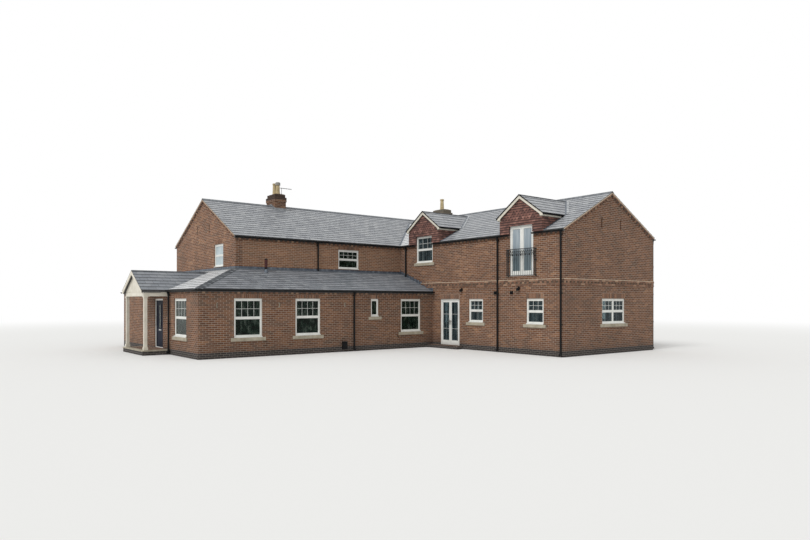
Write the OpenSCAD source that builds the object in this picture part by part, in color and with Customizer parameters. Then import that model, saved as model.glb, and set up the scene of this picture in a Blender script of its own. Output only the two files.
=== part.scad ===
// Two-storey brick house on an L-shaped plan, with a slate lean-to round one corner.
// House axes: the left wing's front wall is at y = 0 and its gable at x = 0, and the
// right wing runs towards -y. The place() module then centres the plan on the origin.

/* [Plan] */
// Length of the left wing's front wall, from its gable to the right wing
left_len = 8700; // [8000:50:9500]
// Depth of the left wing, front to back
left_depth = 7200; // [6600:100:8000]
// Width of the right wing
wing_w = 6250; // [5800:50:6800]
// How far the right wing stands out in front of the left wing
wing_proj = 10050; // [9800:50:11000]
// Depth of the lean-to in front of both walls that it is built on
lean_d = 2520; // [2300:20:2800]
// Thickness of the outside walls
wall_t = 300; // [250:10:350]

/* [Heights] */
// Top of the two-storey walls at their outer face
wall_h = 4800; // [4700:50:5000]
// Top of the lean-to walls at their outer face
lean_wall_h = 2490; // [2450:10:2550]
// Top of the ground floor
floor_h = 200; // [180:5:220]
// Top of the left wing's upper floor
left_upper_h = 2750; // [2700:10:2800]
// Top of the right wing's upper floor
wing_upper_h = 3100; // [3050:10:3130]
// Underside of the heads of all ground floor windows
head_h = 2235; // [2200:5:2260]

/* [Roofs] */
// Pitch of the main roofs, in degrees
pitch = 28; // [26:1:30]
// Pitch of the lean-to roof, in degrees
lean_pitch = 20; // [18:1:22]
// Pitch of the porch roof, in degrees
porch_pitch = 31; // [29:1:33]
// Pitch of the dormer roofs, in degrees
dormer_pitch = 35; // [33:1:37]
// Thickness of every roof, measured straight down
roof_t = 110; // [90:5:130]
// How far a roof runs out past a gable
verge = 50; // [30:5:80]
// Width of a dormer over its side walls
dormer_w = 2250; // [2150:50:2350]
// Height of a dormer's ridge above the ground
dormer_ridge_h = 6430; // [6380:10:6450]

/* [Windows] */
// Width of a full sash window
sash_w = 1150; // [1100:10:1250]
// Bottom of the tall ground floor windows
tall_low = 750; // [650:10:800]
// Bottom of the small ground floor windows
small_low = 1215; // [1200:5:1300]
// Width of the small windows
small_w = 875; // [825:5:925]
// Bottom of the upper windows that stand over the lean-to
upper_low = 3640; // [3640:10:3700]
// Top of the upper windows
upper_high = 4545; // [4500:5:4600]
// Depth from the wall's outer face to a window frame
reveal = 40; // [20:5:60]
// Depth of a window frame
frame_d = 70; // [60:5:80]
// Width of a window frame's bars, seen from the front
frame_w = 62; // [50:2:75]
// Thickness of the glass
glass_t = 24; // [20:2:28]
// Height of a window sill
sill_h = 130; // [120:5:180]
// How far a sill reaches past its window at each end
sill_horn = 130; // [100:10:160]

/* [Doors] */
// Width of the French doors' opening
french_w = 1290; // [1250:10:1350]
// Height of the French doors' frame above the ground
french_low = 150; // [130:5:170]
// Width of the front door's opening
front_door_w = 1100; // [1050:10:1150]
// Thickness of a door leaf
leaf_t = 45; // [40:1:50]
// Gap round a door leaf
leaf_gap = 6; // [6:1:8]
// Gap between the two French door leaves
meeting_gap = 10; // [10:1:12]
// Width of a French door leaf's frame bars
leaf_bar = 105; // [90:5:120]

/* [Porch] */
// How far the porch stands out from the lean-to
porch_d = 960; // [900:20:1100]
// Width of the porch over its posts
porch_w = 2600; // [2500:20:2640]
// Side of a square porch post
post = 120; // [100:5:140]
// Height of the brick platform under the porch
platform_h = 200; // [160:5:200]

/* [Chimneys] */
// Width of a chimney stack along x
stack_x = 600; // [540:10:640]
// Width of a chimney stack along y
stack_y = 900; // [840:10:940]
// Height of a chimney pot
pot_h = 600; // [450:10:650]
// Radius of a chimney pot
pot_r = 105; // [90:5:120]

/* [Trim] */
// Radius of the half-round gutters
gutter_r = 55; // [50:1:58]
// Radius of the downpipes
pipe_r = 36; // [30:1:40]
// Bottom of the projecting brick band round the right wing
band_low = 2740; // [2700:10:2760]
// Height of the brick band
band_h = 260; // [225:5:300]
// How far the brick band stands out
band_out = 30; // [20:5:40]
// Radius of the ridge tiles
ridge_r = 90; // [80:5:110]

/* [Hidden] */
$fn = 32;

// Lines of the plan
wing_x0 = left_len;
wing_x1 = left_len + wing_w;
wing_mid = (wing_x0 + wing_x1) / 2;
left_mid = left_depth / 2;
lean_top_h = lean_wall_h + roof_t;

// Rises of the roofs per millimetre run
rise = tan(pitch);
lean_rise = tan(lean_pitch);
porch_rise = tan(porch_pitch);
dormer_rise = tan(dormer_pitch);

// Ridges, measured to the top of the slates
roof_top_h = wall_h + roof_t;
left_ridge_h = roof_top_h + left_mid * rise;
wing_ridge_h = roof_top_h + wing_w / 2 * rise;
lean_ridge_h = lean_top_h + lean_d * lean_rise;
porch_ridge_h = lean_top_h + porch_w / 2 * porch_rise;
eaves_out = 30;

// The bed left between two pieces that meet on a slope
bed = 1;

// Gutters, as the distance of their middle from the wall and the height of their rim
gutter_out = 100;
gutter_top = wall_h + 50;
lean_gutter_top = lean_wall_h + 70;

// The whole house's box, which place() centres on the origin
slab_nose = 80;
porch_verge = 120;
x_min = -lean_d - porch_d - porch_verge;
x_max = wing_x1 + gutter_out + gutter_r;
y_min = -wing_proj - verge;
y_max = left_depth + gutter_out + gutter_r;

// Cuts run past the faces that they open
past = 20;
far = 20000;

// Openings on the wing's side, as centres along y
french_y = -3695;
dormer_ys = [-1900, -7970];
dormer_window_low = [3970, 3150];
dormer_window_high = [5240, 5210];
dormer_out = 40;
dormer_face_t = 260;
dormer_cheek_t = 120;
dormer_low = 4890;
dormer_side_out = 60;
dormer_front_out = 110;

// The front door and the porch share one centre line
porch_y = 1970;
porch_x0 = -lean_d - porch_d;
door_high = 2230;
threshold_h = 25;

// Openings inside the house: from the left wing into the lean-to, and opposite the front door
inner_x = 3000;
inner_w = 2400;
hall_w = 1200;

// Tops of the chimney stacks, at the middle of each
chimney_left_at = [3700, left_mid, 7400];
chimney_right_at = [wing_mid, 350, 7000];
course = 75;
belt_out = 25;

// Each window: side it faces, that wall's face, centre along the wall, width, low, high, lights.
// Lights are "sash", "single" or "cross".
ground_windows = [
    ["front", -lean_d, -575, sash_w, tall_low, head_h, "sash"],
    ["front", -lean_d, 2015, sash_w, tall_low, head_h, "sash"],
    ["front", -lean_d, 5340, 410, 1460, head_h, "single"],
    ["front", -lean_d, 7365, sash_w, tall_low, head_h, "sash"],
    ["left", -lean_d, -620, sash_w + 210, tall_low, head_h, "sash"],
    ["left", wing_x0, -5375, small_w, small_low, head_h, "sash"],
    ["left", wing_x0, -8675, small_w, small_low, head_h, "sash"],
    ["front", -wing_proj, wing_mid + 160, 1600, small_low, head_h, "cross"]
];
upper_windows = [
    ["front", 0, 5630, sash_w, upper_low, upper_high, "sash"],
    ["left", 0, 1790, 1000, upper_low, upper_high + 95, "sash"]
];
dormer_window = ["left", wing_x0, dormer_ys[0], 1200, dormer_window_low[0], dormer_window_high[0], "sash"];
juliet_opening = ["left", wing_x0, dormer_ys[1], 1250, dormer_window_low[1], dormer_window_high[1], "pair"];
back_windows = [
    ["back", left_depth, 1500, sash_w, tall_low, head_h, "sash"],
    ["back", left_depth, 5000, sash_w, tall_low, head_h, "sash"],
    ["back", left_depth, 8600, sash_w, tall_low, head_h, "sash"],
    ["back", left_depth, 12300, sash_w, tall_low, head_h, "sash"],
    ["back", left_depth, 1500, sash_w, upper_low, upper_high, "sash"],
    ["back", left_depth, 5000, sash_w, upper_low, upper_high, "sash"],
    ["back", left_depth, 8600, sash_w, upper_low, upper_high, "sash"],
    ["back", left_depth, 12300, sash_w, upper_low, upper_high, "sash"],
    ["right", wing_x1, left_mid, sash_w, upper_low, upper_high, "sash"],
    ["right", wing_x1, left_mid, sash_w, tall_low, head_h, "sash"],
    ["right", wing_x1, -2600, small_w, small_low, head_h, "sash"],
    ["right", wing_x1, -7400, small_w, small_low, head_h, "sash"]
];
sill_windows = concat(ground_windows, [dormer_window], back_windows);

function side_of(w) = w[0];
function face_of(w) = w[1];
function mid_of(w) = w[2];
function width_of(w) = w[3];
function low_of(w) = w[4];
function high_of(w) = w[5];
function lights_of(w) = w[6];

// The clear lights of a window, as [left, right, low, high] from its lower left corner
function light_grid(us, zs) = [
    for (i = [0 : len(us) - 2], j = [0 : len(zs) - 2])
        [us[i] + frame_w / 2, us[i + 1] - frame_w / 2, zs[j] + frame_w / 2, zs[j + 1] - frame_w / 2]
];
function bar_lines(size, count) = [
    for (i = [0 : count]) frame_w / 2 + (size - frame_w) * i / count
];
function window_lights(w) =
    let (kind = lights_of(w), h = high_of(w) - low_of(w))
    light_grid(
        bar_lines(width_of(w), kind == "cross" || kind == "pair" ? 2 : 1),
        bar_lines(h, kind == "cross" || kind == "sash" ? 2 : 1)
    );

// Helpers: where things stand

// Centres the plan on the origin
module place() {
    translate([-(x_min + x_max) / 2, -(y_min + y_max) / 2, 0]) children();
}

// Puts a piece on a wall: x runs along the wall in house axes, y into it from its face
module facing(side, face) {
    if (side == "front") translate([0, face, 0]) children();
    if (side == "back") translate([0, face, 0]) mirror([0, 1, 0]) children();
    if (side == "left") translate([face, 0, 0]) mirror([1, -1, 0]) children();
    if (side == "right") translate([face, 0, 0]) mirror([1, 0, 0]) mirror([1, -1, 0]) children();
}

// Extrudes an outline drawn in a wall's own depth and height, along the wall
module along_wall(from, to) {
    translate([from, 0, 0]) rotate([90, 0, 90]) linear_extrude(to - from) children();
}

// Extrudes an outline drawn along the wall and upwards, through a depth
module through_wall(from, to) {
    translate([0, to, 0]) rotate([90, 0, 0]) linear_extrude(to - from) children();
}

// Helpers: roofs

// A slope: its top passes height z0 at run 0 and rises to run_to
module slope_outline(z0, slope, run_from, run_to) {
    polygon([
        [run_from, z0 - roof_t + run_from * slope],
        [run_to, z0 - roof_t + run_to * slope],
        [run_to, z0 + run_to * slope],
        [run_from, z0 + run_from * slope]
    ]);
}

// The outline below a gabled roof line with its eaves at -half and +half
module gable_outline(half, z_eaves, slope, low) {
    polygon([
        [-half, low],
        [half, low],
        [half, z_eaves],
        [0, z_eaves + half * slope],
        [-half, z_eaves]
    ]);
}

// All space below the left wing's roof, lowered by drop from the top of its slates
module below_main_roof(drop) {
    half = left_mid + 1000;
    translate([-far / 2, 0, 0])
        rotate([90, 0, 90])
            linear_extrude(2 * far)
                translate([left_mid, 0])
                    gable_outline(half, roof_top_h - drop - 1000 * rise, rise, -1000);
}

// All space below the right wing's roof, lowered by drop, up to the left wing's ridge
module below_wing_roof(drop, y_to) {
    half = wing_w / 2 + 1000;
    translate([wing_mid, y_to, 0])
        rotate([90, 0, 0])
            linear_extrude(far)
                gable_outline(half, roof_top_h - drop - 1000 * rise, rise, -1000);
}

// All space below the lean-to's front slope, lowered by drop from the top of its slates
module below_lean_front(drop) {
    along_wall(-far / 2, far / 2)
        polygon([
            [-2 * lean_d, 0],
            [lean_d, 0],
            [lean_d, lean_top_h - drop + 2 * lean_d * lean_rise],
            [-2 * lean_d, lean_top_h - drop - lean_d * lean_rise]
        ]);
}

// All space below the lean-to's side slope, lowered by drop
module below_lean_side(drop) {
    mirror([1, -1, 0]) below_lean_front(drop);
}

// All space below a dormer's roof line, lowered by drop
module below_dormer(y, drop, half) {
    z_eaves = dormer_ridge_h - drop - half * dormer_rise;
    translate([0, y, 0])
        rotate([90, 0, 90])
            linear_extrude(far)
                gable_outline(half, z_eaves, dormer_rise, -1000);
}

// Cuts the hip of the lean-to, which runs out from the house corner at 45 degrees in plan
module hip_plan(length, back) {
    linear_extrude(far)
        polygon([
            [-lean_d - 200, -lean_d - 200],
            [length, -lean_d - 200],
            [length, back],
            [back, back]
        ]);
}

// Helpers: windows

// A window's opening through the wall
module window_cut(w) {
    facing(side_of(w), face_of(w))
        translate([mid_of(w) - width_of(w) / 2, -past, low_of(w)])
            cube([width_of(w), wall_t + 2 * past, high_of(w) - low_of(w)]);
}

module window_cuts(windows) {
    for (w = windows) window_cut(w);
}

// The sill, a stone slab that carries the frame and stands out from the wall
module sill(w) {
    sill_out = 45;
    facing(side_of(w), face_of(w))
        translate([mid_of(w) - width_of(w) / 2 - sill_horn, -sill_out, low_of(w) - sill_h])
            cube([width_of(w) + 2 * sill_horn, sill_out + reveal + frame_d, sill_h]);
}

module sills(windows) {
    for (w = windows) sill(w);
}

// The frame with its lights cut through
module window_frame(w) {
    facing(side_of(w), face_of(w))
        translate([mid_of(w) - width_of(w) / 2, reveal, low_of(w)])
            difference() {
                cube([width_of(w), frame_d, high_of(w) - low_of(w)]);
                for (l = window_lights(w))
                    translate([l[0], -past, l[2]])
                        cube([l[1] - l[0], frame_d + 2 * past, l[3] - l[2]]);
            }
}

// One pane in each light
module window_glass(w) {
    facing(side_of(w), face_of(w))
        translate([mid_of(w) - width_of(w) / 2, reveal + (frame_d - glass_t) / 2, low_of(w)])
            for (l = window_lights(w))
                translate([l[0], 0, l[2]])
                    cube([l[1] - l[0], glass_t, l[3] - l[2]]);
}

// Helpers: walls

// A straight wall under the eaves, its top cut to the roof's slope
module eaves_wall(from, to, height, slope) {
    top = height - bed;
    along_wall(from, to)
        polygon([[0, 0], [wall_t, 0], [wall_t, top + wall_t * slope], [0, top]]);
}

// A gable wall that carries the roof at both slopes
module gable_wall(from, to) {
    half = (to - from) / 2;
    through_wall(0, wall_t)
        translate([from + half, 0])
            gable_outline(half, wall_h - bed, rise, 0);
}

// A narrow upright slot, half through the wall
module gable_slot(u, low) {
    slot_w = 90;
    slot_h = 375;
    translate([u - slot_w / 2, -past, low])
        cube([slot_w, wall_t / 2 + past, slot_h]);
}

// Floors

// The ground floor between the walls and through the openings inside the house
module ground_floor() {
    color("darkgray") place() {
        translate([wall_t, wall_t, 0])
            cube([wing_x1 - 2 * wall_t, left_depth - 2 * wall_t, floor_h]);
        translate([wing_x0 + wall_t, -wing_proj + wall_t, 0])
            cube([wing_w - 2 * wall_t, wing_proj, floor_h]);
        translate([-lean_d + wall_t, -lean_d + wall_t, 0])
            cube([left_len + lean_d - wall_t, lean_d - wall_t, floor_h]);
        translate([-lean_d + wall_t, -wall_t, 0])
            cube([lean_d - wall_t, left_depth, floor_h]);
        translate([inner_x, 0, 0])
            cube([inner_w, wall_t, floor_h]);
        translate([0, porch_y - hall_w / 2, 0])
            cube([wall_t, hall_w, floor_h]);
    }
}

// The upper floor, a little higher in the right wing
module upper_floor() {
    left_floor_t = 250;
    wing_floor_t = 400;
    color("burlywood") place() {
        translate([wall_t, wall_t, left_upper_h - left_floor_t])
            cube([left_len, left_depth - 2 * wall_t, left_floor_t]);
        translate([wing_x0 + wall_t, -wing_proj + wall_t, wing_upper_h - wing_floor_t])
            cube([wing_w - 2 * wall_t, wing_proj + left_depth - 2 * wall_t, wing_floor_t]);
    }
}

// Two-storey walls

// The left wing's front wall, with a wide opening into the lean-to
module left_front_wall() {
    color("sienna") place()
        difference() {
            facing("front", 0) eaves_wall(wall_t, left_len + wall_t, wall_h, rise);
            window_cuts(upper_windows);
            translate([inner_x, -past, -past])
                cube([inner_w, wall_t + 2 * past, door_high + past]);
        }
}

// The left gable, with an opening opposite the front door
module left_gable_wall() {
    slot_apart = 1440;
    slot_low = 5240;
    color("sienna") place()
        difference() {
            facing("left", 0)
                difference() {
                    gable_wall(0, left_depth);
                    for (side = [-1, 1]) gable_slot(left_mid + side * slot_apart / 2, slot_low);
                }
            window_cuts(upper_windows);
            translate([-past, porch_y - hall_w / 2, -past])
                cube([wall_t + 2 * past, hall_w, door_high + past]);
        }
}

module rear_wall() {
    color("sienna") place()
        difference() {
            facing("back", left_depth) eaves_wall(wall_t, wing_x1 - wall_t, wall_h, rise);
            window_cuts(back_windows);
            sills(back_windows);
        }
}

module right_gable_wall() {
    color("sienna") place()
        difference() {
            facing("right", wing_x1) gable_wall(0, left_depth);
            window_cuts(back_windows);
            sills(back_windows);
        }
}

module wing_right_wall() {
    color("sienna") place()
        difference() {
            facing("right", wing_x1) eaves_wall(-wing_proj + wall_t, 0, wall_h, rise);
            window_cuts(back_windows);
            sills(back_windows);
        }
}

module wing_gable_wall() {
    slot_apart = 1300;
    slot_low = 5100;
    color("sienna") place()
        difference() {
            facing("front", -wing_proj)
                difference() {
                    gable_wall(wing_x0, wing_x1);
                    for (side = [-1, 1]) gable_slot(wing_mid + side * slot_apart / 2, slot_low);
                }
            window_cuts(ground_windows);
            sills(ground_windows);
        }
}

// A stretch of the wing's long side wall, with the openings that fall in it
module wing_side_stretch(from, to, low) {
    color("sienna") place()
        difference() {
            facing("left", wing_x0) eaves_wall(from, to, wall_h, rise);
            translate([wing_x0 - past, from - past, -past])
                cube([wall_t + 2 * past, to - from + 2 * past, low + past]);
            window_cuts(ground_windows);
            sills(ground_windows);
            window_cuts([dormer_window, juliet_opening]);
            sills([dormer_window]);
        }
}

module wing_side_wall_near() wing_side_stretch(-wing_proj + wall_t, french_y - french_w / 2, 0);
module wing_side_wall_far() wing_side_stretch(french_y + french_w / 2, 0, 0);

// Lean-to walls

module lean_to_front_wall() {
    color("sienna") place()
        difference() {
            facing("front", -lean_d) eaves_wall(-lean_d, left_len, lean_wall_h, lean_rise);
            above_side_slope();
            window_cuts(ground_windows);
            sills(ground_windows);
        }
}

// Space over the side slope's underside, which the front wall stays below at its corner
module above_side_slope() {
    translate([-lean_d, 0, 0])
        rotate([90, 0, 0])
            linear_extrude(2 * lean_d)
                polygon([
                    [-past, lean_wall_h - bed - past * lean_rise],
                    [wall_t + past, lean_wall_h - bed + (wall_t + past) * lean_rise],
                    [wall_t + past, lean_wall_h + wall_t],
                    [-past, lean_wall_h + wall_t]
                ]);
}

module lean_side_stretch(from, to, low) {
    color("sienna") place()
        difference() {
            facing("left", -lean_d) eaves_wall(from, to, lean_wall_h, lean_rise);
            translate([-lean_d - past, from - past, -past])
                cube([wall_t + 2 * past, to - from + 2 * past, low + past]);
            window_cuts(ground_windows);
            sills(ground_windows);
        }
}

module lean_to_side_wall_near() lean_side_stretch(-lean_d + wall_t, porch_y - front_door_w / 2, 0);
module lean_to_side_wall_far() lean_side_stretch(porch_y + front_door_w / 2, left_depth, 0);

// The stretches of wall over the two doorways that open
module door_lintel_walls() {
    wing_side_stretch(french_y - french_w / 2, french_y + french_w / 2, head_h);
    lean_side_stretch(porch_y - front_door_w / 2, porch_y + front_door_w / 2, door_high);
}

// Closes the lean-to's far end
module lean_to_rear_wall() {
    color("sienna") place()
        facing("back", left_depth)
            through_wall(0, wall_t)
                polygon([
                    [-lean_d + wall_t, 0],
                    [0, 0],
                    [0, lean_wall_h - bed + lean_d * lean_rise],
                    [-lean_d + wall_t, lean_wall_h - bed + wall_t * lean_rise]
                ]);
}

// Roofs

module main_roof_front() {
    color("slategray") place()
        difference() {
            along_wall(-verge, wing_x1 + verge)
                slope_outline(roof_top_h, rise, -eaves_out, left_mid);
            below_wing_roof(roof_t - bed, left_mid);
        }
}

module main_roof_rear() {
    color("slategray") place()
        translate([0, left_depth, 0])
            mirror([0, 1, 0])
                along_wall(-verge, wing_x1 + verge)
                    slope_outline(roof_top_h, rise, -eaves_out, left_mid);
}

// One slope of the wing's roof, drawn for its left side
module wing_slope() {
    facing("left", wing_x0)
        along_wall(-wing_proj - verge, left_mid)
            slope_outline(roof_top_h, rise, -eaves_out, wing_w / 2);
}

module wing_roof_left() {
    color("slategray") place()
        difference() {
            wing_slope();
            below_main_roof(-bed);
            for (y = dormer_ys) below_dormer(y, roof_t, dormer_w / 2);
        }
}

module wing_roof_right() {
    color("slategray") place()
        difference() {
            translate([2 * wing_mid, 0, 0]) mirror([1, 0, 0]) wing_slope();
            below_main_roof(-bed);
        }
}

module lean_to_roof_front() {
    color("slategray") place()
        intersection() {
            facing("front", -lean_d)
                along_wall(-lean_d - eaves_out, left_len)
                    slope_outline(lean_top_h, lean_rise, -eaves_out, lean_d);
            hip_plan(left_len, 0);
        }
}

module lean_to_roof_side() {
    color("slategray") place()
        intersection() {
            facing("left", -lean_d)
                along_wall(-lean_d - eaves_out, left_depth + verge)
                    slope_outline(lean_top_h, lean_rise, -eaves_out, lean_d);
            mirror([1, -1, 0]) hip_plan(left_depth + verge, 0);
        }
}

// Dormers

// Front and cheeks of one dormer, standing on the wing's wall and rafters
module dormer_body(y, window_w, window_high) {
    difference() {
        intersection() {
            translate([wing_x0 - dormer_out, y - dormer_w / 2, wall_h])
                cube([wing_w / 2, dormer_w, left_ridge_h - wall_h]);
            below_dormer(y, roof_t + bed, dormer_w);
        }
        translate([wing_x0 + dormer_face_t - dormer_out, y - dormer_w / 2 + dormer_cheek_t, 0])
            cube([wing_w, dormer_w - 2 * dormer_cheek_t, far]);
        translate([wing_x0 - dormer_out - past, y - window_w / 2, 0])
            cube([dormer_face_t + 2 * past, window_w, window_high]);
        translate([wing_x0 - dormer_out - past, y - dormer_w, 0])
            cube([dormer_out + past, 2 * dormer_w, dormer_low]);
        below_wing_roof(roof_t - bed, 0);
    }
}

module dormer_walls() {
    color("indianred") place() {
        dormer_body(dormer_ys[0], width_of(dormer_window), dormer_window_high[0]);
        dormer_body(dormer_ys[1], width_of(juliet_opening), dormer_window_high[1]);
    }
}

module dormer_roofs() {
    color("slategray") place()
        for (y = dormer_ys)
            difference() {
                intersection() {
                    below_dormer(y, 0, dormer_w / 2 + dormer_side_out);
                    translate([wing_x0 - dormer_front_out, y - dormer_w, 0])
                        cube([wing_w / 2 + dormer_front_out, 2 * dormer_w, far]);
                }
                translate([-past, 0, 0]) below_dormer(y, roof_t, dormer_w);
                below_wing_roof(-bed, 0);
            }
}

// Ridge tiles

// A round bar along x from 0 to length, of which the roofs leave the upper part as capping
module ridge_bar(length) {
    rotate([0, 90, 0]) cylinder(r = ridge_r, h = length);
}

module ridge_tiles() {
    sink = 40;
    wing_ridge_end = (wing_ridge_h - roof_top_h) / rise;
    dormer_ridge_end = wing_x0 + (dormer_ridge_h - roof_top_h) / rise;
    porch_ridge_from = x_min;
    porch_ridge_end = -lean_d + (porch_ridge_h - lean_top_h) / lean_rise;
    hip_len = norm([lean_d, lean_d, lean_d * lean_rise]);
    hip_tilt = atan(lean_rise / sqrt(2));
    color("dimgray") place() {
        difference() {
            translate([-verge, left_mid, left_ridge_h - sink]) ridge_bar(wing_x1 + 2 * verge);
            below_main_roof(-bed);
            stack_space(chimney_left_at);
        }
        difference() {
            translate([wing_mid, -wing_proj - verge, wing_ridge_h - sink])
                rotate([0, 0, 90]) ridge_bar(wing_proj + verge + wing_ridge_end);
            below_wing_roof(-bed, left_mid);
            below_main_roof(-bed);
            stack_space(chimney_right_at);
        }
        for (y = dormer_ys)
            difference() {
                translate([wing_x0 - dormer_front_out, y, dormer_ridge_h - sink])
                    ridge_bar(dormer_ridge_end - wing_x0 + dormer_front_out);
                translate([-past, 0, 0]) below_dormer(y, -bed, dormer_w);
                below_wing_roof(-bed, 0);
            }
        difference() {
            translate([porch_ridge_from, porch_y, porch_ridge_h - sink])
                ridge_bar(porch_ridge_end - porch_ridge_from);
            below_porch_roof(-bed);
            below_lean_side(-bed);
        }
        difference() {
            translate([0, 0, lean_ridge_h - sink])
                rotate([0, hip_tilt, -135])
                    ridge_bar(hip_len);
            intersection() {
                below_lean_front(-bed);
                below_lean_side(-bed);
            }
            translate([-bed, -bed, 0]) cube(far);
        }
    }
}

// Chimneys

// A block on the middle of a stack, grown by out on each side, between two heights
module stack_block(at, out, from, to) {
    translate([at[0] - stack_x / 2 - out, at[1] - stack_y / 2 - out, from])
        cube([stack_x + 2 * out, stack_y + 2 * out, to - from]);
}

// A shaft, a belt of three courses that stands out, and two courses that are set back on top
module stack(at) {
    belt_high = at[2] - 2 * course;
    belt_bottom = belt_high - 3 * course;
    stack_block(at, 0, wall_h, belt_high);
    stack_block(at, belt_out, belt_bottom, belt_high);
    stack_block(at, -belt_out, wall_h, at[2]);
}

// The upright space that a stack takes up, with its belt
module stack_space(at) {
    stack_block(at, belt_out + bed, wall_h, at[2]);
}

module chimney_stacks() {
    color("saddlebrown") place() {
        difference() {
            stack(chimney_left_at);
            below_main_roof(-bed);
        }
        difference() {
            stack(chimney_right_at);
            below_wing_roof(-bed, left_mid);
        }
    }
}

// A tapered pot with a rolled rim
module pot(at) {
    rim_h = 70;
    rim_out = 18;
    translate(at)
        rotate_extrude()
            polygon([
                [0, 0],
                [pot_r + rim_out, 0],
                [pot_r + rim_out, rim_h],
                [pot_r, rim_h + rim_out],
                [pot_r - rim_out, pot_h - rim_h],
                [pot_r, pot_h - rim_h],
                [pot_r, pot_h],
                [0, pot_h]
            ]);
}

module chimney_pots() {
    pots_apart = 340;
    color("burlywood") place() {
        for (side = [-1, 1])
            pot(chimney_left_at + [0, side * pots_apart / 2, 0]);
        pot(chimney_right_at);
    }
}

// The projecting band round the right wing at first floor level
module band_course() {
    color("brown") place()
        difference() {
            translate([wing_x0 - band_out, -wing_proj - band_out, band_low])
                cube([wing_w + 2 * band_out, wing_proj + band_out, band_h]);
            translate([wing_x0, -wing_proj, band_low - past])
                cube([wing_w, wing_proj + past, band_h + 2 * past]);
            below_lean_front(-bed);
        }
}

// Rainwater goods

// A half-round gutter along the wall, its rim at height 0 and its middle out from the wall
module gutter_run(from, to, r, out) {
    skin = 5;
    along_wall(from, to)
        translate([-out, 0])
            difference() {
                circle(r = r);
                circle(r = r - skin);
                translate([-r, 0]) square([2 * r, r]);
            }
}

module wall_gutter(from, to) gutter_run(from, to, gutter_r, gutter_out);

// The short gutters under both eaves of a dormer
module dormer_gutters(y) {
    r = 40;
    drop = 50;
    eaves_half = dormer_w / 2 + dormer_side_out;
    eaves_h = dormer_ridge_h - eaves_half * dormer_rise;
    slope_x = wing_x0 + (eaves_h - drop - r - roof_top_h) / rise;
    for (side = [-1, 1])
        translate([0, y + side * eaves_half, eaves_h - drop])
            mirror([0, (side + 1) / 2, 0])
                gutter_run(wing_x0 - dormer_front_out, slope_x, r, r + 5);
}

module gutters() {
    porch_half = porch_w / 2 + eaves_out + bed;
    window_half = width_of(juliet_opening) / 2;
    near_edge = gutter_out + gutter_r;
    far_edge = gutter_out - gutter_r;
    color("black") place() {
        translate([0, 0, gutter_top]) {
            facing("front", 0) wall_gutter(-verge, left_len - near_edge - bed);
            facing("left", wing_x0) {
                wall_gutter(-wing_proj - verge, dormer_ys[1] - window_half);
                wall_gutter(dormer_ys[1] + window_half, dormer_ys[0] - window_half);
                wall_gutter(dormer_ys[0] + window_half, -far_edge);
            }
            facing("right", wing_x1) wall_gutter(-wing_proj - verge, -far_edge);
            facing("back", left_depth) wall_gutter(-verge, wing_x1 + verge);
        }
        translate([0, 0, lean_gutter_top]) {
            facing("front", -lean_d) wall_gutter(-lean_d - near_edge, left_len);
            facing("left", -lean_d) {
                wall_gutter(-lean_d - far_edge + bed, porch_y - porch_half);
                wall_gutter(porch_y + porch_half, left_depth + verge);
            }
        }
        for (y = dormer_ys) dormer_gutters(y);
    }
}

// Round downpipes, each from its gutter down to the ground or to a roof
module downpipes() {
    pipe_out = 70;
    shoe = 60;
    lean_pipe = lean_gutter_top - gutter_r - bed;
    main_pipe = gutter_top - gutter_r - bed;
    corner = 60;
    back_corner = 400;
    inner_y = -535;
    on_lean_wall = lean_ridge_h + bed + pipe_r * lean_rise;
    on_lean_slope = lean_top_h + (lean_d + inner_y + pipe_r) * lean_rise + bed;
    // each pipe: x, y, bottom, top
    pipe_runs = [
        [4220, -lean_d - pipe_out, shoe, lean_pipe],
        [-lean_d - pipe_out, 520, shoe, lean_pipe],
        [3935, -pipe_out, on_lean_wall - pipe_out * lean_rise, main_pipe],
        [wing_x0 - pipe_out, inner_y, on_lean_slope, main_pipe],
        [wing_x0 - pipe_out, -6720, shoe, main_pipe],
        [wing_x0 - pipe_out, -wing_proj + corner, shoe, main_pipe],
        [wing_x1 + pipe_out, -wing_proj + corner, shoe, main_pipe],
        [wing_x1 - back_corner, left_depth + pipe_out, shoe, main_pipe],
        [back_corner, left_depth + pipe_out, shoe, main_pipe]
    ];
    for (p = pipe_runs)
        translate([p[0], p[1], p[2]]) cylinder(r = pipe_r, h = p[3] - p[2]);
}

// The soil vent, which comes up through the lean-to's front slope
module soil_vent() {
    vent_at = [1190, -410];
    vent_r = 57;
    vent_top = 3900;
    difference() {
        translate([vent_at[0], vent_at[1], lean_wall_h]) cylinder(r = vent_r, h = vent_top - lean_wall_h);
        below_lean_front(-bed);
    }
}

module pipes() {
    color("black") place() {
        downpipes();
        soil_vent();
    }
}

// Windows

module window_sills() {
    color("tan") place() sills(sill_windows);
}

module frames(windows) {
    color("ivory") place()
        for (w = windows) window_frame(w);
}

module panes(windows) {
    color("lightblue") place()
        for (w = windows) window_glass(w);
}

module front_window_frames() frames(concat(ground_windows, upper_windows, [dormer_window]));
module front_window_glass() panes(concat(ground_windows, upper_windows, [dormer_window, juliet_opening]));
module back_window_frames() frames(back_windows);
module back_window_glass() panes(back_windows);
module juliet_doors() frames([juliet_opening]);

// A flat railing along y from 0 to width, with upright bars between a top and a bottom rail
module railing(width, height, rail, spaces) {
    bar = 14;
    for (z = [0, height - rail])
        translate([0, 0, z]) cube([rail, width, rail]);
    for (i = [0 : spaces])
        translate([(rail - bar) / 2, (rail - bar) / 2 + i * (width - rail) / spaces, rail])
            cube([bar, bar, height - 2 * rail]);
}

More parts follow.
